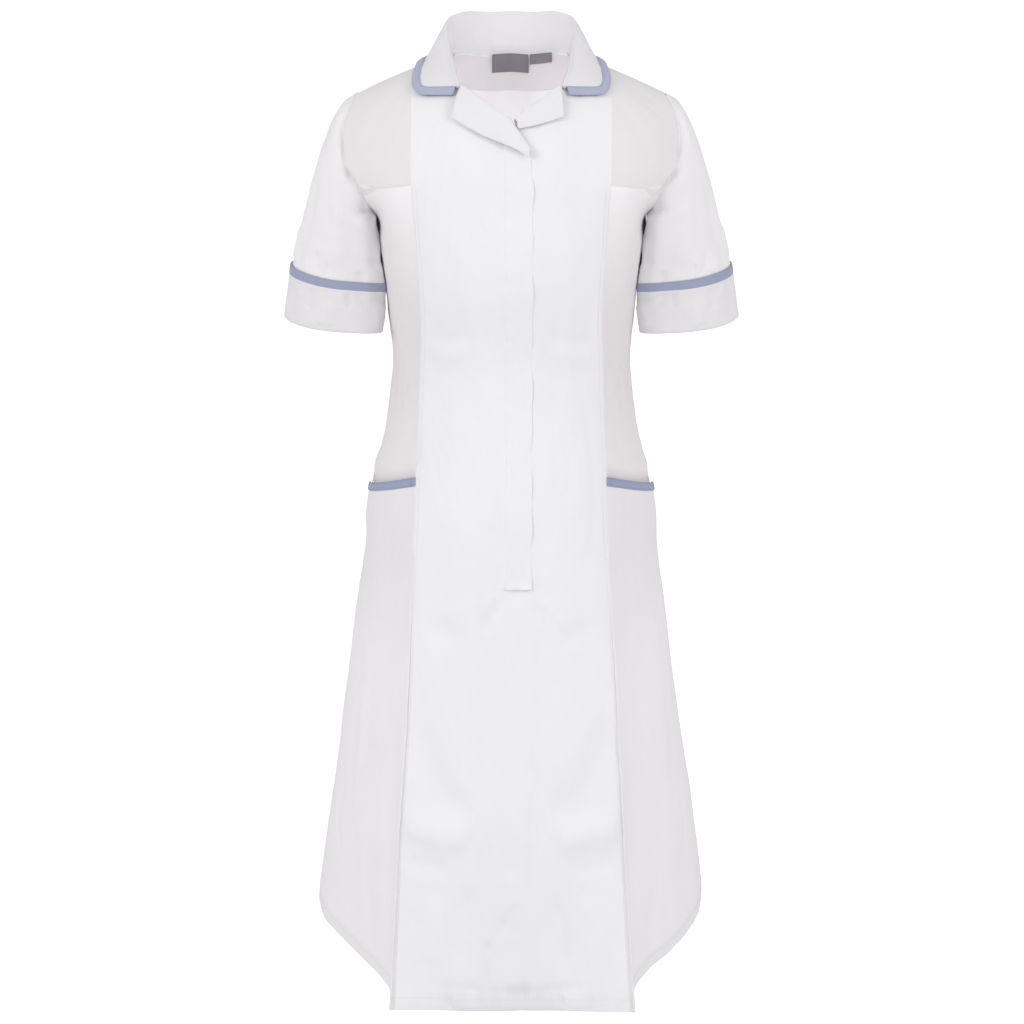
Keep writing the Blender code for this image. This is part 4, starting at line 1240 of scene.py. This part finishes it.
def shader_group(name, inputs, outputs):
    """An empty shader node group with its named sockets, and its two ends."""
    group = bpy.data.node_groups.new(name, "ShaderNodeTree")
    for label, kind, value in inputs:
        socket = group.interface.new_socket(label, in_out="INPUT", socket_type=kind)
        socket.default_value = value
    for label, kind in outputs:
        group.interface.new_socket(label, in_out="OUTPUT", socket_type=kind)
    return group, group.nodes.new("NodeGroupInput"), group.nodes.new("NodeGroupOutput")


def maths(group, operation, a, b=None, c=None):
    """A maths node; each of a, b and c is a number or a socket."""
    node = group.nodes.new("ShaderNodeMath")
    node.operation = operation
    for k, value in enumerate((a, b, c)):
        if value is None:
            continue
        if isinstance(value, (int, float)):
            node.inputs[k].default_value = value
        else:
            group.links.new(value, node.inputs[k])
    return node.outputs[0]


def twill_group():
    """Fine twill on a UV map in metres: colour with slow shade and slubs, mixed towards a second colour where the cloth
    is turned double and where shade is painted, and a bump height.
    """
    group, given, result = shader_group(
        "Fine twill",
        (
            ("Colour", "NodeSocketColor", (0.86, 0.85, 0.87, 1.0)),
            ("Doubled and shaded", "NodeSocketColor", (0.90, 0.89, 0.91, 1.0)),
            ("Pitch", "NodeSocketFloat", 0.0007),
            ("Slub", "NodeSocketFloat", 0.02),
            ("Shade", "NodeSocketFloat", 0.06),
        ),
        (("Colour", "NodeSocketColor"), ("Height", "NodeSocketFloat"), ("Roughness", "NodeSocketFloat")),
    )
    nodes, join = group.nodes, group.links.new
    where = nodes.new("ShaderNodeUVMap")
    where.uv_map = "Cloth"
    parts = nodes.new("ShaderNodeSeparateXYZ")
    join(where.outputs["UV"], parts.inputs[0])
    u, v = parts.outputs["X"], parts.outputs["Y"]
    turns = maths(group, "DIVIDE", 2 * math.pi, given.outputs["Pitch"])
    rib = maths(group, "SINE", maths(group, "MULTIPLY", maths(group, "ADD", u, v), turns))
    weft = maths(group, "SINE", maths(group, "MULTIPLY", v, turns))
    weave = maths(group, "MULTIPLY_ADD", rib, 0.35, maths(group, "MULTIPLY", weft, 0.15))

    def noise(scale_u, scale_v, detail):
        place = nodes.new("ShaderNodeCombineXYZ")
        join(maths(group, "MULTIPLY", u, scale_u), place.inputs["X"])
        join(maths(group, "MULTIPLY", v, scale_v), place.inputs["Y"])
        grain = nodes.new("ShaderNodeTexNoise")
        grain.inputs["Scale"].default_value = 1.0
        grain.inputs["Detail"].default_value = detail
        join(place.outputs["Vector"], grain.inputs["Vector"])
        return maths(group, "SUBTRACT", grain.outputs["Fac"], 0.5)

    slub = maths(group, "ADD", noise(900, 40, 2), noise(40, 900, 2))
    slow = noise(16, 11, 4)
    gain = maths(group, "MULTIPLY_ADD", slub, given.outputs["Slub"], 1.0)
    gain = maths(group, "MULTIPLY_ADD", slow, given.outputs["Shade"], gain)
    # The attribute gives how far the cloth is turned double and how much painted shade lies there.
    doubled_and_shaded = nodes.new("ShaderNodeAttribute")
    doubled_and_shaded.attribute_name = "layers_and_shade"
    blend = nodes.new("ShaderNodeMix")
    blend.data_type = "RGBA"
    join(doubled_and_shaded.outputs["Fac"], blend.inputs["Factor"])
    join(given.outputs["Colour"], blend.inputs["A"])
    join(given.outputs["Doubled and shaded"], blend.inputs["B"])
    tone = nodes.new("ShaderNodeVectorMath")
    tone.operation = "SCALE"
    join(blend.outputs["Result"], tone.inputs[0])
    join(gain, tone.inputs["Scale"])
    join(tone.outputs["Vector"], result.inputs["Colour"])
    join(maths(group, "MULTIPLY_ADD", slub, 0.6, weave), result.inputs["Height"])
    join(maths(group, "MULTIPLY_ADD", slow, 0.08, 0.82), result.inputs["Roughness"])
    return group


TWILL = twill_group()


def cloth(name, colour, doubled_and_shaded=None, pitch=0.0007, slub=0.02, shade=0.06, bump=0.12, sheen=0.15):
    """A matt twill material."""
    material = bpy.data.materials.new(name)
    material.use_nodes = True
    nodes, join = material.node_tree.nodes, material.node_tree.links.new
    shader = nodes["Principled BSDF"]
    weave = nodes.new("ShaderNodeGroup")
    weave.node_tree = TWILL
    weave.inputs["Colour"].default_value = (*colour, 1.0)
    # The second colour stands for cloth turned double and for painted shade.
    weave.inputs["Doubled and shaded"].default_value = (*(doubled_and_shaded or colour), 1.0)
    weave.inputs["Pitch"].default_value = pitch
    weave.inputs["Slub"].default_value = slub
    weave.inputs["Shade"].default_value = shade
    relief = nodes.new("ShaderNodeBump")
    relief.inputs["Strength"].default_value = bump
    relief.inputs["Distance"].default_value = 0.0002
    join(weave.outputs["Colour"], shader.inputs["Base Color"])
    join(weave.outputs["Roughness"], shader.inputs["Roughness"])
    join(weave.outputs["Height"], relief.inputs["Height"])
    join(relief.outputs["Normal"], shader.inputs["Normal"])
    shader.inputs["Sheen Weight"].default_value = sheen
    shader.inputs["Sheen Roughness"].default_value = 0.5
    shader.inputs["Specular IOR Level"].default_value = 0.25
    return material


def plain(name, colour, roughness):
    """A smooth matt material with a slight grain."""
    material = bpy.data.materials.new(name)
    material.use_nodes = True
    nodes, join = material.node_tree.nodes, material.node_tree.links.new
    shader = nodes["Principled BSDF"]
    where = nodes.new("ShaderNodeTexCoord")
    grain = nodes.new("ShaderNodeTexNoise")
    grain.inputs["Scale"].default_value = 400
    ramp = nodes.new("ShaderNodeMix")
    ramp.data_type = "RGBA"
    ramp.inputs["A"].default_value = (*[0.96 * c for c in colour], 1.0)
    ramp.inputs["B"].default_value = (*colour, 1.0)
    join(where.outputs["Object"], grain.inputs["Vector"])
    join(grain.outputs["Fac"], ramp.inputs["Factor"])
    join(ramp.outputs["Result"], shader.inputs["Base Color"])
    shader.inputs["Roughness"].default_value = roughness
    shader.inputs["Specular IOR Level"].default_value = 0.2
    return material


# Fronts: the second colour is the hem's turning, and painted shade at the middle of the hem.
FRONT_WHITE = cloth("White twill of the fronts", (0.865, 0.855, 0.875), (0.775, 0.765, 0.790))
SHOULDER_WHITE = cloth("White twill of the shoulders", (0.812, 0.786, 0.795))
# Sides: the first colour is painted light, lighter than the cloth, and the second is painted shade beside the arm and
# at the waist.
SIDE_LIT_AND_SHADED_WHITE = cloth("White twill of the sides", (0.945, 0.928, 0.942), (0.770, 0.745, 0.760))
# Skirt: the second colour is painted shade at the top of the side skirt, and the hem's turning.
SKIRT_WHITE = cloth("White twill of the skirt", (0.875, 0.855, 0.875), (0.812, 0.793, 0.820))
SLEEVE_WHITE = cloth("White twill of the sleeves", (0.85, 0.835, 0.85))
# Back: the second colour is the hem's turning, and painted shade at the middle of the hem.
BACK_WHITE = cloth("White twill of the back", (0.850, 0.835, 0.850), (0.775, 0.760, 0.780))
# Collar and revers face up and catch more light; their colours are painted darker than the same twill, as painted
# shade.
COLLAR_SHADED_WHITE = cloth("White twill of the collar", (0.795, 0.780, 0.800))
REVER_SHADED_WHITE = cloth("White twill of the revers", (0.830, 0.820, 0.835))
BLUE_BINDING = cloth("Blue binding", (0.335, 0.365, 0.500), pitch=0.0008, slub=0.08, bump=0.2)
COLLAR_BINDING = cloth("Blue binding of the collar", (0.430, 0.465, 0.600), pitch=0.0008, slub=0.08, bump=0.2)
CUFF_WHITE = cloth("White twill of the cuffs", (0.785, 0.765, 0.790))
# The neck facing's colour is painted darker than the back's cloth, as painted shade inside the neck.
FACING_SHADED_WHITE = cloth("White twill of the neck facing", (0.700, 0.678, 0.690))
GREY_TAPE = cloth("Grey woven label", (0.190, 0.176, 0.200), pitch=0.0010, slub=0.10, bump=0.3)
WHITE_THREAD = plain("White thread", (0.80, 0.79, 0.81), 0.6)
BLUE_THREAD = plain("Blue thread", (0.30, 0.36, 0.58), 0.6)
GREY_THREAD = plain("Grey thread", (0.25, 0.24, 0.26), 0.6)


# ---- pieces

PIECES = []


def finished(piece, material, replaced=()):
    """Gives a piece its cloth, its body and the solids it stands for."""
    if not piece.data.materials:
        piece.data.materials.append(material)
    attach(piece, "root")
    if replaced:
        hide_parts(*replaced)
    PIECES.append(piece)
    return piece


CLOTH_WALL = 0.0009
SIDES = ((1, "left"), (-1, "right"))
SEAMS = {"princess": [], "hem": [], "cuff": [], "neck": [], "trim": [], "fly": [], "label": []}


def sided(rows, side):
    return rows if side > 0 else mirrored(rows)


def doubling(grid, edges):
    """How far each point is cloth turned double: edges maps an edge to the width of its turning."""
    layers_and_shade = np.zeros(grid.shape[:2])
    for edge, width in edges.items():
        g = grid
        if edge in ("top", "bottom"):
            g = g.swapaxes(0, 1)
        if edge in ("right", "bottom"):
            g = g[:, ::-1]
        near = np.clip((width - lengths(g, 1)) / 0.0015, 0, 1)
        if edge in ("right", "bottom"):
            near = near[:, ::-1]
        if edge in ("top", "bottom"):
            near = near.swapaxes(0, 1)
        layers_and_shade = np.maximum(layers_and_shade, near)
    return layers_and_shade


def hem_turning_and_shade(grid):
    """How much greyer the hem is at each point: its turning seen through the cloth, with painted shade that is most in
    the middle, where the hem curls in, and an uneven top.
    """
    x, above = grid[..., 0], grid[..., 2] + HEM
    uneven = 0.007 * np.sin(61 * x + 0.8) + 0.004 * np.sin(147 * x) + 0.0024 * np.sin(331 * x + 2.0)
    middle = 0.30 + 0.70 * np.exp(-((x / 0.085) ** 4))
    band = np.clip((0.020 + 0.014 * middle + uneven - above) / 0.020, 0, 1)
    streaks = 0.84 + 0.10 * np.sin(170 * x + 2.3 * np.sin(41 * x)) + 0.06 * np.sin(390 * x + 1.9)
    # Painted shade over the lower middle of the front and back, above the turning.
    middle_painted_shade = 0.22 * np.exp(-((x / 0.075) ** 2)) * np.clip((0.25 - above) / 0.12, 0, 1)
    return np.clip(band * middle * streaks + middle_painted_shade, 0, 1)


def make_fronts():
    for side, word in SIDES:
        rows = front_rows(side)
        rows = rows if side > 0 else mirrored(rows)
        outer_edge, inner_edge = ("right", "left") if side > 0 else ("left", "right")
        grid = patch(rows, fine(rows, 0, 0.0050, True, True), fine(rows, 1, 0.0045, True, True))
        grid = draped(grid)
        for distance in (0.0015, 0.0060):
            line = beside(grid, outer_edge, distance)
            SEAMS["princess"].append(line[line[:, 2] < -LEVELS[0].princess])
        SEAMS["hem"].append(beside(grid, "bottom", 0.0150))
        layers_and_shade = hem_turning_and_shade(grid)
        if side > 0:
            grid = under(grid, inner_edge)
            layers_and_shade = np.concatenate([layers_and_shade[:, :1], layers_and_shade], 1)
        piece = wall_mesh(f"front_{word}_cloth", grid, CLOTH_WALL, layers_and_shade=layers_and_shade)
        finished(piece, FRONT_WHITE, [f"front_{word}"])


def side_painted_light_and_shade(grid, seam_last):
    """How much greyer a side front is at each point, as painted shade: most beside the arm and at the waist, least near
    the top of the princess seam, where light is painted.
    """
    drop = -grid[..., 2]
    share = np.linspace(0, 1, grid.shape[1])[None, :]
    share = share[:, ::-1] if seam_last else share
    below = np.clip((drop - LEVELS[0].princess) / 0.13, 0, 1)
    fading = 1 - 0.45 * np.clip((drop - 0.36) / 0.10, 0, 1)
    grey = np.clip(below**0.8 * fading + 4.0 * share**2 * (1 - below), 0, 1)
    # Painted light near the top of the princess seam; the rest is painted shade.
    bright = np.clip(1.25 - 2.0 * share, 0, 1) * np.clip(1 - (drop - LEVELS[0].princess) / 0.15, 0, 1)
    return 0.43 * (1 - bright) + 0.57 * grey


def make_sides():
    for side, word in SIDES:
        seam, far = ("left", "right") if side > 0 else ("right", "left")
        rows = sided(yoke_rows(), side)
        yoke = draped(patch(rows, fine(rows, 0, 0.0030, False, True), fine(rows, 1, 0.0022, True, True)))
        SEAMS["princess"].append(beside(yoke, far, 0.0035))
        SEAMS["princess"].append(beside(yoke, "bottom", 0.0015))
        grid = under(yoke, seam)
        finished(wall_mesh(f"shoulder_{word}_cloth", grid, CLOTH_WALL), SHOULDER_WHITE,
                 [f"shoulder_{word}"])
        rows = side_front_rows()
        lining = pocket_lining_rows(rows[-1])
        rows = sided(rows[:-1] + lining, side)
        grid = draped(patch(rows, fine(rows, 0, 0.0035, True), fine(rows, 1, 0.0024, True, True)))
        # On the side front the attribute holds only painted shade and painted light, no turned cloth.
        layers_and_shade = side_painted_light_and_shade(grid, seam == "right")
        grid = under(under(grid, seam), "top")
        layers_and_shade = np.pad(layers_and_shade, ((1, 0), (0, 1) if seam == "right" else (1, 0)), mode="edge")
        finished(wall_mesh(f"side_front_{word}_cloth", grid, CLOTH_WALL, layers_and_shade=layers_and_shade), SIDE_LIT_AND_SHADED_WHITE,
                 [f"side_front_{word}"])
        rows = sided(skirt_rows(), side)
        grid = draped(patch(rows, fine(rows, 0, 0.0050, True, True), fine(rows, 1, 0.0050, True, True)))
        SEAMS["hem"].append(beside(grid, "bottom", 0.0150))
        # The hem's turning counts half; the top of the side skirt is painted shade, full above 0.56 m drop and gone by
        # 0.70 m.
        layers_and_shade = np.maximum(0.5 * doubling(grid, {"bottom": 0.022}), np.clip((0.70 + grid[..., 2]) / 0.14, 0, 1))
        layers_and_shade = np.concatenate([layers_and_shade[:, :1], layers_and_shade], 1) if seam == "left" else np.concatenate([layers_and_shade, layers_and_shade[:, -1:]], 1)
        grid = under(grid, seam)
        finished(wall_mesh(f"side_skirt_{word}_cloth", grid, CLOTH_WALL, layers_and_shade=layers_and_shade), SKIRT_WHITE,
                 [f"side_skirt_{word}"])
        mouth = skirt_rows()
        end = [a + (b - a).normalized() * TRIM for a, b in zip(mouth[0], mouth[1])]
        band = patch(sided([mouth[0], end], side), np.linspace(0, 1, 9), places(SIDE_COLUMNS, 8, True, True))
        band = bound(draped(band), TRIM_RAISE)
        for edge in ("top", "bottom"):
            SEAMS["trim"].append(beside(band, edge, 0.0012))
        for distance in (0.0034, 0.0056):
            SEAMS["trim"].append(beside(band, seam, distance))
        finished(wall_mesh(f"pocket_trim_{word}_binding", band, 0.0022), BLUE_BINDING,
                 [f"pocket_trim_{word}"])


def bound(band, proud, crown=0.0005, closed=False):
    """Binding stands proud of the cloth, and its middle further than its edges."""
    share = np.linspace(0, 1, len(band))[:, None, None]
    return band + facing_out(band, closed) * (proud + crown * np.sin(np.pi * share) ** 0.6 - 0.3 * crown)


def make_back():
    rows = back_rows()
    last = len(rows[0]) - 1
    down = fine(rows, 0, 0.0056, True, True)
    panels = (
        ("back_side_left", 0, BACK_SEAM),
        ("back_centre", BACK_SEAM, last - BACK_SEAM),
        ("back_side_right", last - BACK_SEAM, last),
    )
    whole = spline(np.array([[tuple(p) for p in row] for row in rows]), down)
    for name, first, end in panels:
        panel = [row[first : end + 1] for row in rows]
        across = first + fine(panel, 1, 0.0056, True, True)
        grid = spline(whole.swapaxes(0, 1), across).swapaxes(0, 1)
        grid = draped(grid)
        SEAMS["hem"].append(beside(grid, "bottom", 0.0150))
        if name == "back_centre":
            for edge in ("left", "right"):
                for distance in (0.0015, 0.0060):
                    SEAMS["princess"].append(beside(grid, edge, distance))
        if name != "back_centre":
            armhole_edge, inner = ("left", "right") if name == "back_side_left" else ("right", "left")
            upper = grid[: int(np.searchsorted(down, ARMHOLE_STEPS // 2))]
            SEAMS["princess"].append(beside(upper, armhole_edge, 0.0035))
        layers_and_shade = hem_turning_and_shade(grid)
        if name != "back_centre":
            grid = under(grid, inner)
            layers_and_shade = np.insert(layers_and_shade, 0 if inner == "left" else layers_and_shade.shape[1], 0.0, axis=1)
        finished(wall_mesh(name + "_cloth", grid, CLOTH_WALL, layers_and_shade=layers_and_shade), BACK_WHITE, [name])


def ring_grid(rows, side, down):
    rows = [list(reversed(row)) for row in rows]
    return patch(sided(rows, side), down, places(ARMHOLE_STEPS, 6)[:-1], True)


def make_sleeves():
    for side, word in SIDES:
        sleeve = ring_grid(sleeve_rows(), side, places(len(SLEEVE_ROWS) - 1, 8, True))
        amount = pushed(sleeve, SLEEVE_CREASES, on_rings(sleeve, side)) + 0.8 * drape(sleeve)
        amount *= np.clip(np.arange(len(sleeve)) / 6, 0, 1)[:, None]
        fold = pushed(sleeve, BODY_CREASES, body)
        sleeve = sleeve + facing_out(sleeve, True) * amount[..., None] + outward(sleeve) * fold[..., None]
        sleeve = under(sleeve, "top", 0.004, 0.0016, True)
        finished(wall_mesh(f"sleeve_{word}_cloth", sleeve, CLOTH_WALL, True), SLEEVE_WHITE,
                 [f"sleeve_{word}"])
        band = ring_grid(sleeve_trim_rows(), side, np.linspace(0, 2, 9))
        band = bound(band, CUFF_TRIM_RAISE - 0.0004, closed=True)
        for edge in (0, -1):
            row = band[edge] * 0.88 + band[len(band) // 2] * 0.12
            SEAMS["trim"].append(np.concatenate([row, row[:1]]))
        finished(wall_mesh(f"sleeve_trim_{word}_binding", band, 0.0022, True), BLUE_BINDING,
                 [f"sleeve_trim_{word}"])
        cuff = ring_grid(cuff_rows(), side, places(2, 16, False, True))
        amount = CUFF_RAISE + pushed(cuff, CUFF_CREASES, on_rings(cuff, side)) + 0.5 * drape(cuff)
        cuff = cuff + facing_out(cuff, True) * amount[..., None]
        lifted = cuff + facing_out(cuff, True) * 0.00015
        for share in (0.05, 0.93):
            row = lifted[round(share * (len(cuff) - 1))]
            SEAMS["cuff"].append(np.concatenate([row, row[:1]]))
        finished(wall_mesh(f"cuff_{word}_cloth", cuff, 0.0022, True), CUFF_WHITE,
                 [f"cuff_{word}"])


def make_collar():
    leaf, band = collar_rows()
    along_it = places(len(leaf) - 1, 5)
    grid = patch(leaf, along_it, places(len(leaf[0]) - 1, 6))
    def on_collar(along_neck, across_it):
        row = int(np.searchsorted(along_it, along_neck))
        return grid[row, round(across_it / (len(leaf[0]) - 1) * (grid.shape[1] - 1))]

    amount = pushed(grid, COLLAR_CREASES, on_collar)
    grid = grid + facing_out(grid) * amount[..., None]
    for distance in (0.0030, 0.0080):
        SEAMS["neck"].append(beside(grid, "left", distance))
    grid = under(grid, "left", 0.0040, -0.0004)
    finished(wall_mesh("collar_cloth", grid, WALL), COLLAR_SHADED_WHITE, ["collar"])
    strip = patch(band, along_it, np.linspace(0, 2, 9))
    share = np.linspace(0, 1, 9)[None, :, None]
    strip = strip + facing_out(strip) * (TRIM_RAISE + 0.0005 * np.sin(np.pi * share) ** 0.6)
    SEAMS["trim"].append(beside(strip, "left", 0.0012))
    finished(wall_mesh("collar_trim_binding", strip, 0.0015), COLLAR_BINDING, ["collar_trim"])
    for name, table, side in (("rever_left", REVER_LEFT, 1), ("rever_right", REVER_RIGHT, -1)):
        rows = rever_rows(table, side)
        rows = list(reversed(rows)) if side > 0 else rows
        grid = patch(rows, places(len(rows) - 1, 5), places(len(rows[0]) - 1, 6))
        finished(wall_mesh(name + "_cloth", grid, WALL), REVER_SHADED_WHITE, [name])


def make_fly():
    rows = fly_rows()
    across = np.array([0, .05, .1, .15, .2, .25, .3, .4, .5, .75, 1, 1.25, 1.5, 1.75, 2, 2.25, 2.5, 2.7, 2.8, 2.9, 2.96, 3])
    grid = draped(patch(rows, fine(rows, 0, 0.0040, True, True), across))
    rise = np.clip(across / 0.35, 0, 1)
    rise = -0.0008 + 0.0017 * rise * rise * (3 - 2 * rise)
    drop = -grid[:, :1, 2]
    wave = 0.00080 * np.sin(drop * 83) * np.sin(drop * 31 + 0.7) * (across[None, :] / 3) ** 3
    mouth = np.clip((drop - FLY_END + 0.012) / 0.012, 0, 1) ** 2
    lift = 0.0028 * mouth * (0.35 + 0.65 * (across[None, :] / 3) ** 2 + 0.25 * np.sin(across[None, :] * 4.2 - 1.2))
    grid = grid + facing_out(grid) * (rise[None, :] + wave + lift)[..., None]
    grid[..., 0] += 1.3 * wave
    finished(wall_mesh("fly_flap_cloth", grid, CLOTH_WALL), FRONT_WHITE, ["fly_flap"])
    SEAMS["fly"].append(beside(grid, "left", 0.0010))


def make_inside():
    facing = patch(facing_rows(), places(FACING_ROWS - 2, 6), places(len(facing_rows()[0]) - 1, 6))
    facing = facing + facing_out(facing) * (-CLOTH_WALL - LAYER_GAP)
    SEAMS["neck"].append(beside(facing - facing_out(facing) * 0.0010, "bottom", 0.0020))
    finished(wall_mesh("neck_facing_cloth", facing, 0.0008), FACING_SHADED_WHITE, ["neck_facing"])
    for name, at, size in (("main_label", MAIN_LABEL_AT, MAIN_LABEL), ("size_label", SIZE_LABEL_AT, SIZE_LABEL)):
        grid = patch(label_rows(at, size), places(2, 8), places(2, 8))
        grid = grid + facing_out(grid) * (-2 * WALL - 2 * LAYER_GAP)
        within = grid - facing_out(grid) * (LABEL_WALL + 0.0002)
        SEAMS["label"] += [beside(within, edge, 0.0010) for edge in ("left", "right", "bottom")]
        finished(wall_mesh(name + "_tape", grid, LABEL_WALL), GREY_TAPE, [name])


def make_stitching():
    groups = (
        ("princess", "princess_stitches", WHITE_THREAD, "white_cloth"),
        ("hem", "hem_stitches", WHITE_THREAD, "white_cloth"),
        ("fly", "fly_stitches", WHITE_THREAD, "white_cloth"),
        ("cuff", "cuff_stitches", WHITE_THREAD, "white_cloth"),
        ("neck", "neck_stitches", WHITE_THREAD, "white_cloth"),
        ("label", "label_stitches", GREY_THREAD, "grey_label"),
        ("trim", "binding_stitches", BLUE_THREAD, "blue_trim"),
    )
    for key_name, name, thread, slot in groups:
        if SEAMS[key_name]:
            finished(sew(name, SEAMS[key_name], thread), thread)


# Cut of each piece: flat width and length, area where it isn't a rectangle, and what it hangs from
Cut = namedtuple("Cut", "width length area hangs_from")
CUTS = {
    "back_centre_cloth": Cut(0.345, 1.167, 0.3174, ("collar_cloth", "shoulder_left_cloth", "shoulder_right_cloth")),
    "back_side_left_cloth": Cut(0.160, 1.158, 0.1186, ("shoulder_left_cloth", "back_centre_cloth")),
    "back_side_right_cloth": Cut(0.160, 1.158, 0.1179, ("shoulder_right_cloth", "back_centre_cloth")),
    "front_left_cloth": Cut(0.150, 1.165, 0.1254, ("back_centre_cloth",)),
    "front_right_cloth": Cut(0.185, 1.165, 0.1531, ("back_centre_cloth",)),
    "shoulder_left_cloth": Cut(0.097, 0.182, 0.0145, ("back_side_left_cloth", "front_left_cloth")),
    "shoulder_right_cloth": Cut(0.097, 0.182, 0.0145, ("back_side_right_cloth", "front_right_cloth")),
    "side_front_left_cloth": Cut(0.171, 0.507, 0.0590, ("shoulder_left_cloth", "front_left_cloth")),
    "side_front_right_cloth": Cut(0.171, 0.507, 0.0590, ("shoulder_right_cloth", "front_right_cloth")),
    "side_skirt_left_cloth": Cut(0.344, 0.654, 0.1447, ("front_left_cloth", "back_side_left_cloth")),
    "side_skirt_right_cloth": Cut(0.344, 0.654, 0.1442, ("front_right_cloth", "back_side_right_cloth")),
    "fly_flap_cloth": Cut(0.034, 0.530, 0.0173, ("front_left_cloth",)),
    "sleeve_left_cloth": Cut(0.408, 0.214, 0.0455, ("shoulder_left_cloth", "back_side_left_cloth")),
    "sleeve_right_cloth": Cut(0.408, 0.214, 0.0455, ("shoulder_right_cloth", "back_side_right_cloth")),
    "cuff_left_cloth": Cut(0.383, 0.051, 0.0192, ("sleeve_left_cloth",)),
    "cuff_right_cloth": Cut(0.383, 0.051, 0.0192, ("sleeve_right_cloth",)),
    "sleeve_trim_left_binding": Cut(0.374, 0.010, None, ("sleeve_left_cloth",)),
    "sleeve_trim_right_binding": Cut(0.374, 0.010, None, ("sleeve_right_cloth",)),
    "pocket_trim_left_binding": Cut(0.128, 0.010, None, ("side_skirt_left_cloth",)),
    "pocket_trim_right_binding": Cut(0.128, 0.010, None, ("side_skirt_right_cloth",)),
    "collar_cloth": Cut(0.107, 0.471, 0.0283, ("back_centre_cloth", "front_left_cloth", "front_right_cloth")),
    "collar_trim_binding": Cut(0.011, 0.516, None, ("collar_cloth",)),
    "rever_left_cloth": Cut(0.040, 0.068, 0.0019, ("front_left_cloth",)),
    "rever_right_cloth": Cut(0.044, 0.110, 0.0036, ("front_right_cloth",)),
    "neck_facing_cloth": Cut(0.216, 0.103, 0.0170, ("back_centre_cloth",)),
    "main_label_tape": Cut(0.042, 0.028, None, ("neck_facing_cloth",)),
    "size_label_tape": Cut(0.028, 0.020, None, ("neck_facing_cloth",)),
}


def declare_cuts():
    for name, cut in CUTS.items():
        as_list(cut.hangs_from)


# ---- studio

def area(name, where, target, size, power):
    light = bpy.data.lights.new(name, "AREA")
    light.shape, light.size, light.energy = "DISK", size, power
    lamp = bpy.data.objects.new(name, light)
    lamp.location = where
    lamp.rotation_euler = (Vector(target) - Vector(where)).to_track_quat("-Z", "Y").to_euler()
    bpy.context.scene.collection.objects.link(lamp)


def studio():
    scene = bpy.context.scene
    scene.view_settings.view_transform = "Standard"
    world = bpy.data.worlds.new("Studio")
    world.use_nodes = True
    sky = world.node_tree.nodes["Background"]
    sky.inputs["Color"].default_value = (1.0, 1.0, 1.0, 1.0)
    sky.inputs["Strength"].default_value = 0.63
    scene.world = world
    area("Key light", (-2.7, -2.2, 1.3), (0, 0, -0.4), 1.6, 42)
    area("Fill light", (2.7, -2.2, 1.2), (0, 0, -0.4), 1.8, 38)
    for where, power, size in (((0.0, -0.02, -0.30), 0.54, 0.05), ((0.0, -0.01, -0.145), 0.062, 0.015)):
        glow = bpy.data.lights.new("Light through the cloth", "POINT")
        glow.energy, glow.shadow_soft_size = power, size
        lamp = bpy.data.objects.new("Light through the cloth", glow)
        lamp.location = where
        scene.collection.objects.link(lamp)
    mesh = bpy.data.meshes.new("Floor")
    reach, down = 60.0, -1.46
    mesh.from_pydata([(-reach, -reach, down), (reach, -reach, down), (reach, reach, down), (-reach, reach, down)],
                     [], [(0, 1, 2, 3)])
    floor = bpy.data.objects.new("Floor", mesh)
    scene.collection.objects.link(floor)
    pale = plain("Pale floor", (0.93, 0.93, 0.93), 0.9)
    shader = pale.node_tree.nodes["Principled BSDF"]
    seen = pale.node_tree.nodes.new("ShaderNodeLightPath")
    pale.node_tree.links.new(seen.outputs["Is Camera Ray"], shader.inputs["Emission Color"])
    shader.inputs["Emission Strength"].default_value = 0.55
    mesh.materials.append(pale)
    eye = bpy.data.cameras.new("Camera")
    eye.lens, eye.sensor_width = 67.36, 36.0
    eye.shift_x = 0.0007
    camera = bpy.data.objects.new("Camera", eye)
    camera.location = (0.0, -2.2, 0.15)
    camera.rotation_euler = (math.radians(90 - 17.28), 0.0, 0.0)
    scene.collection.objects.link(camera)
    scene.camera = camera


studio()
make_fronts()
make_sides()
make_back()
make_sleeves()
make_collar()
make_fly()
make_inside()
make_stitching()
declare_cuts()
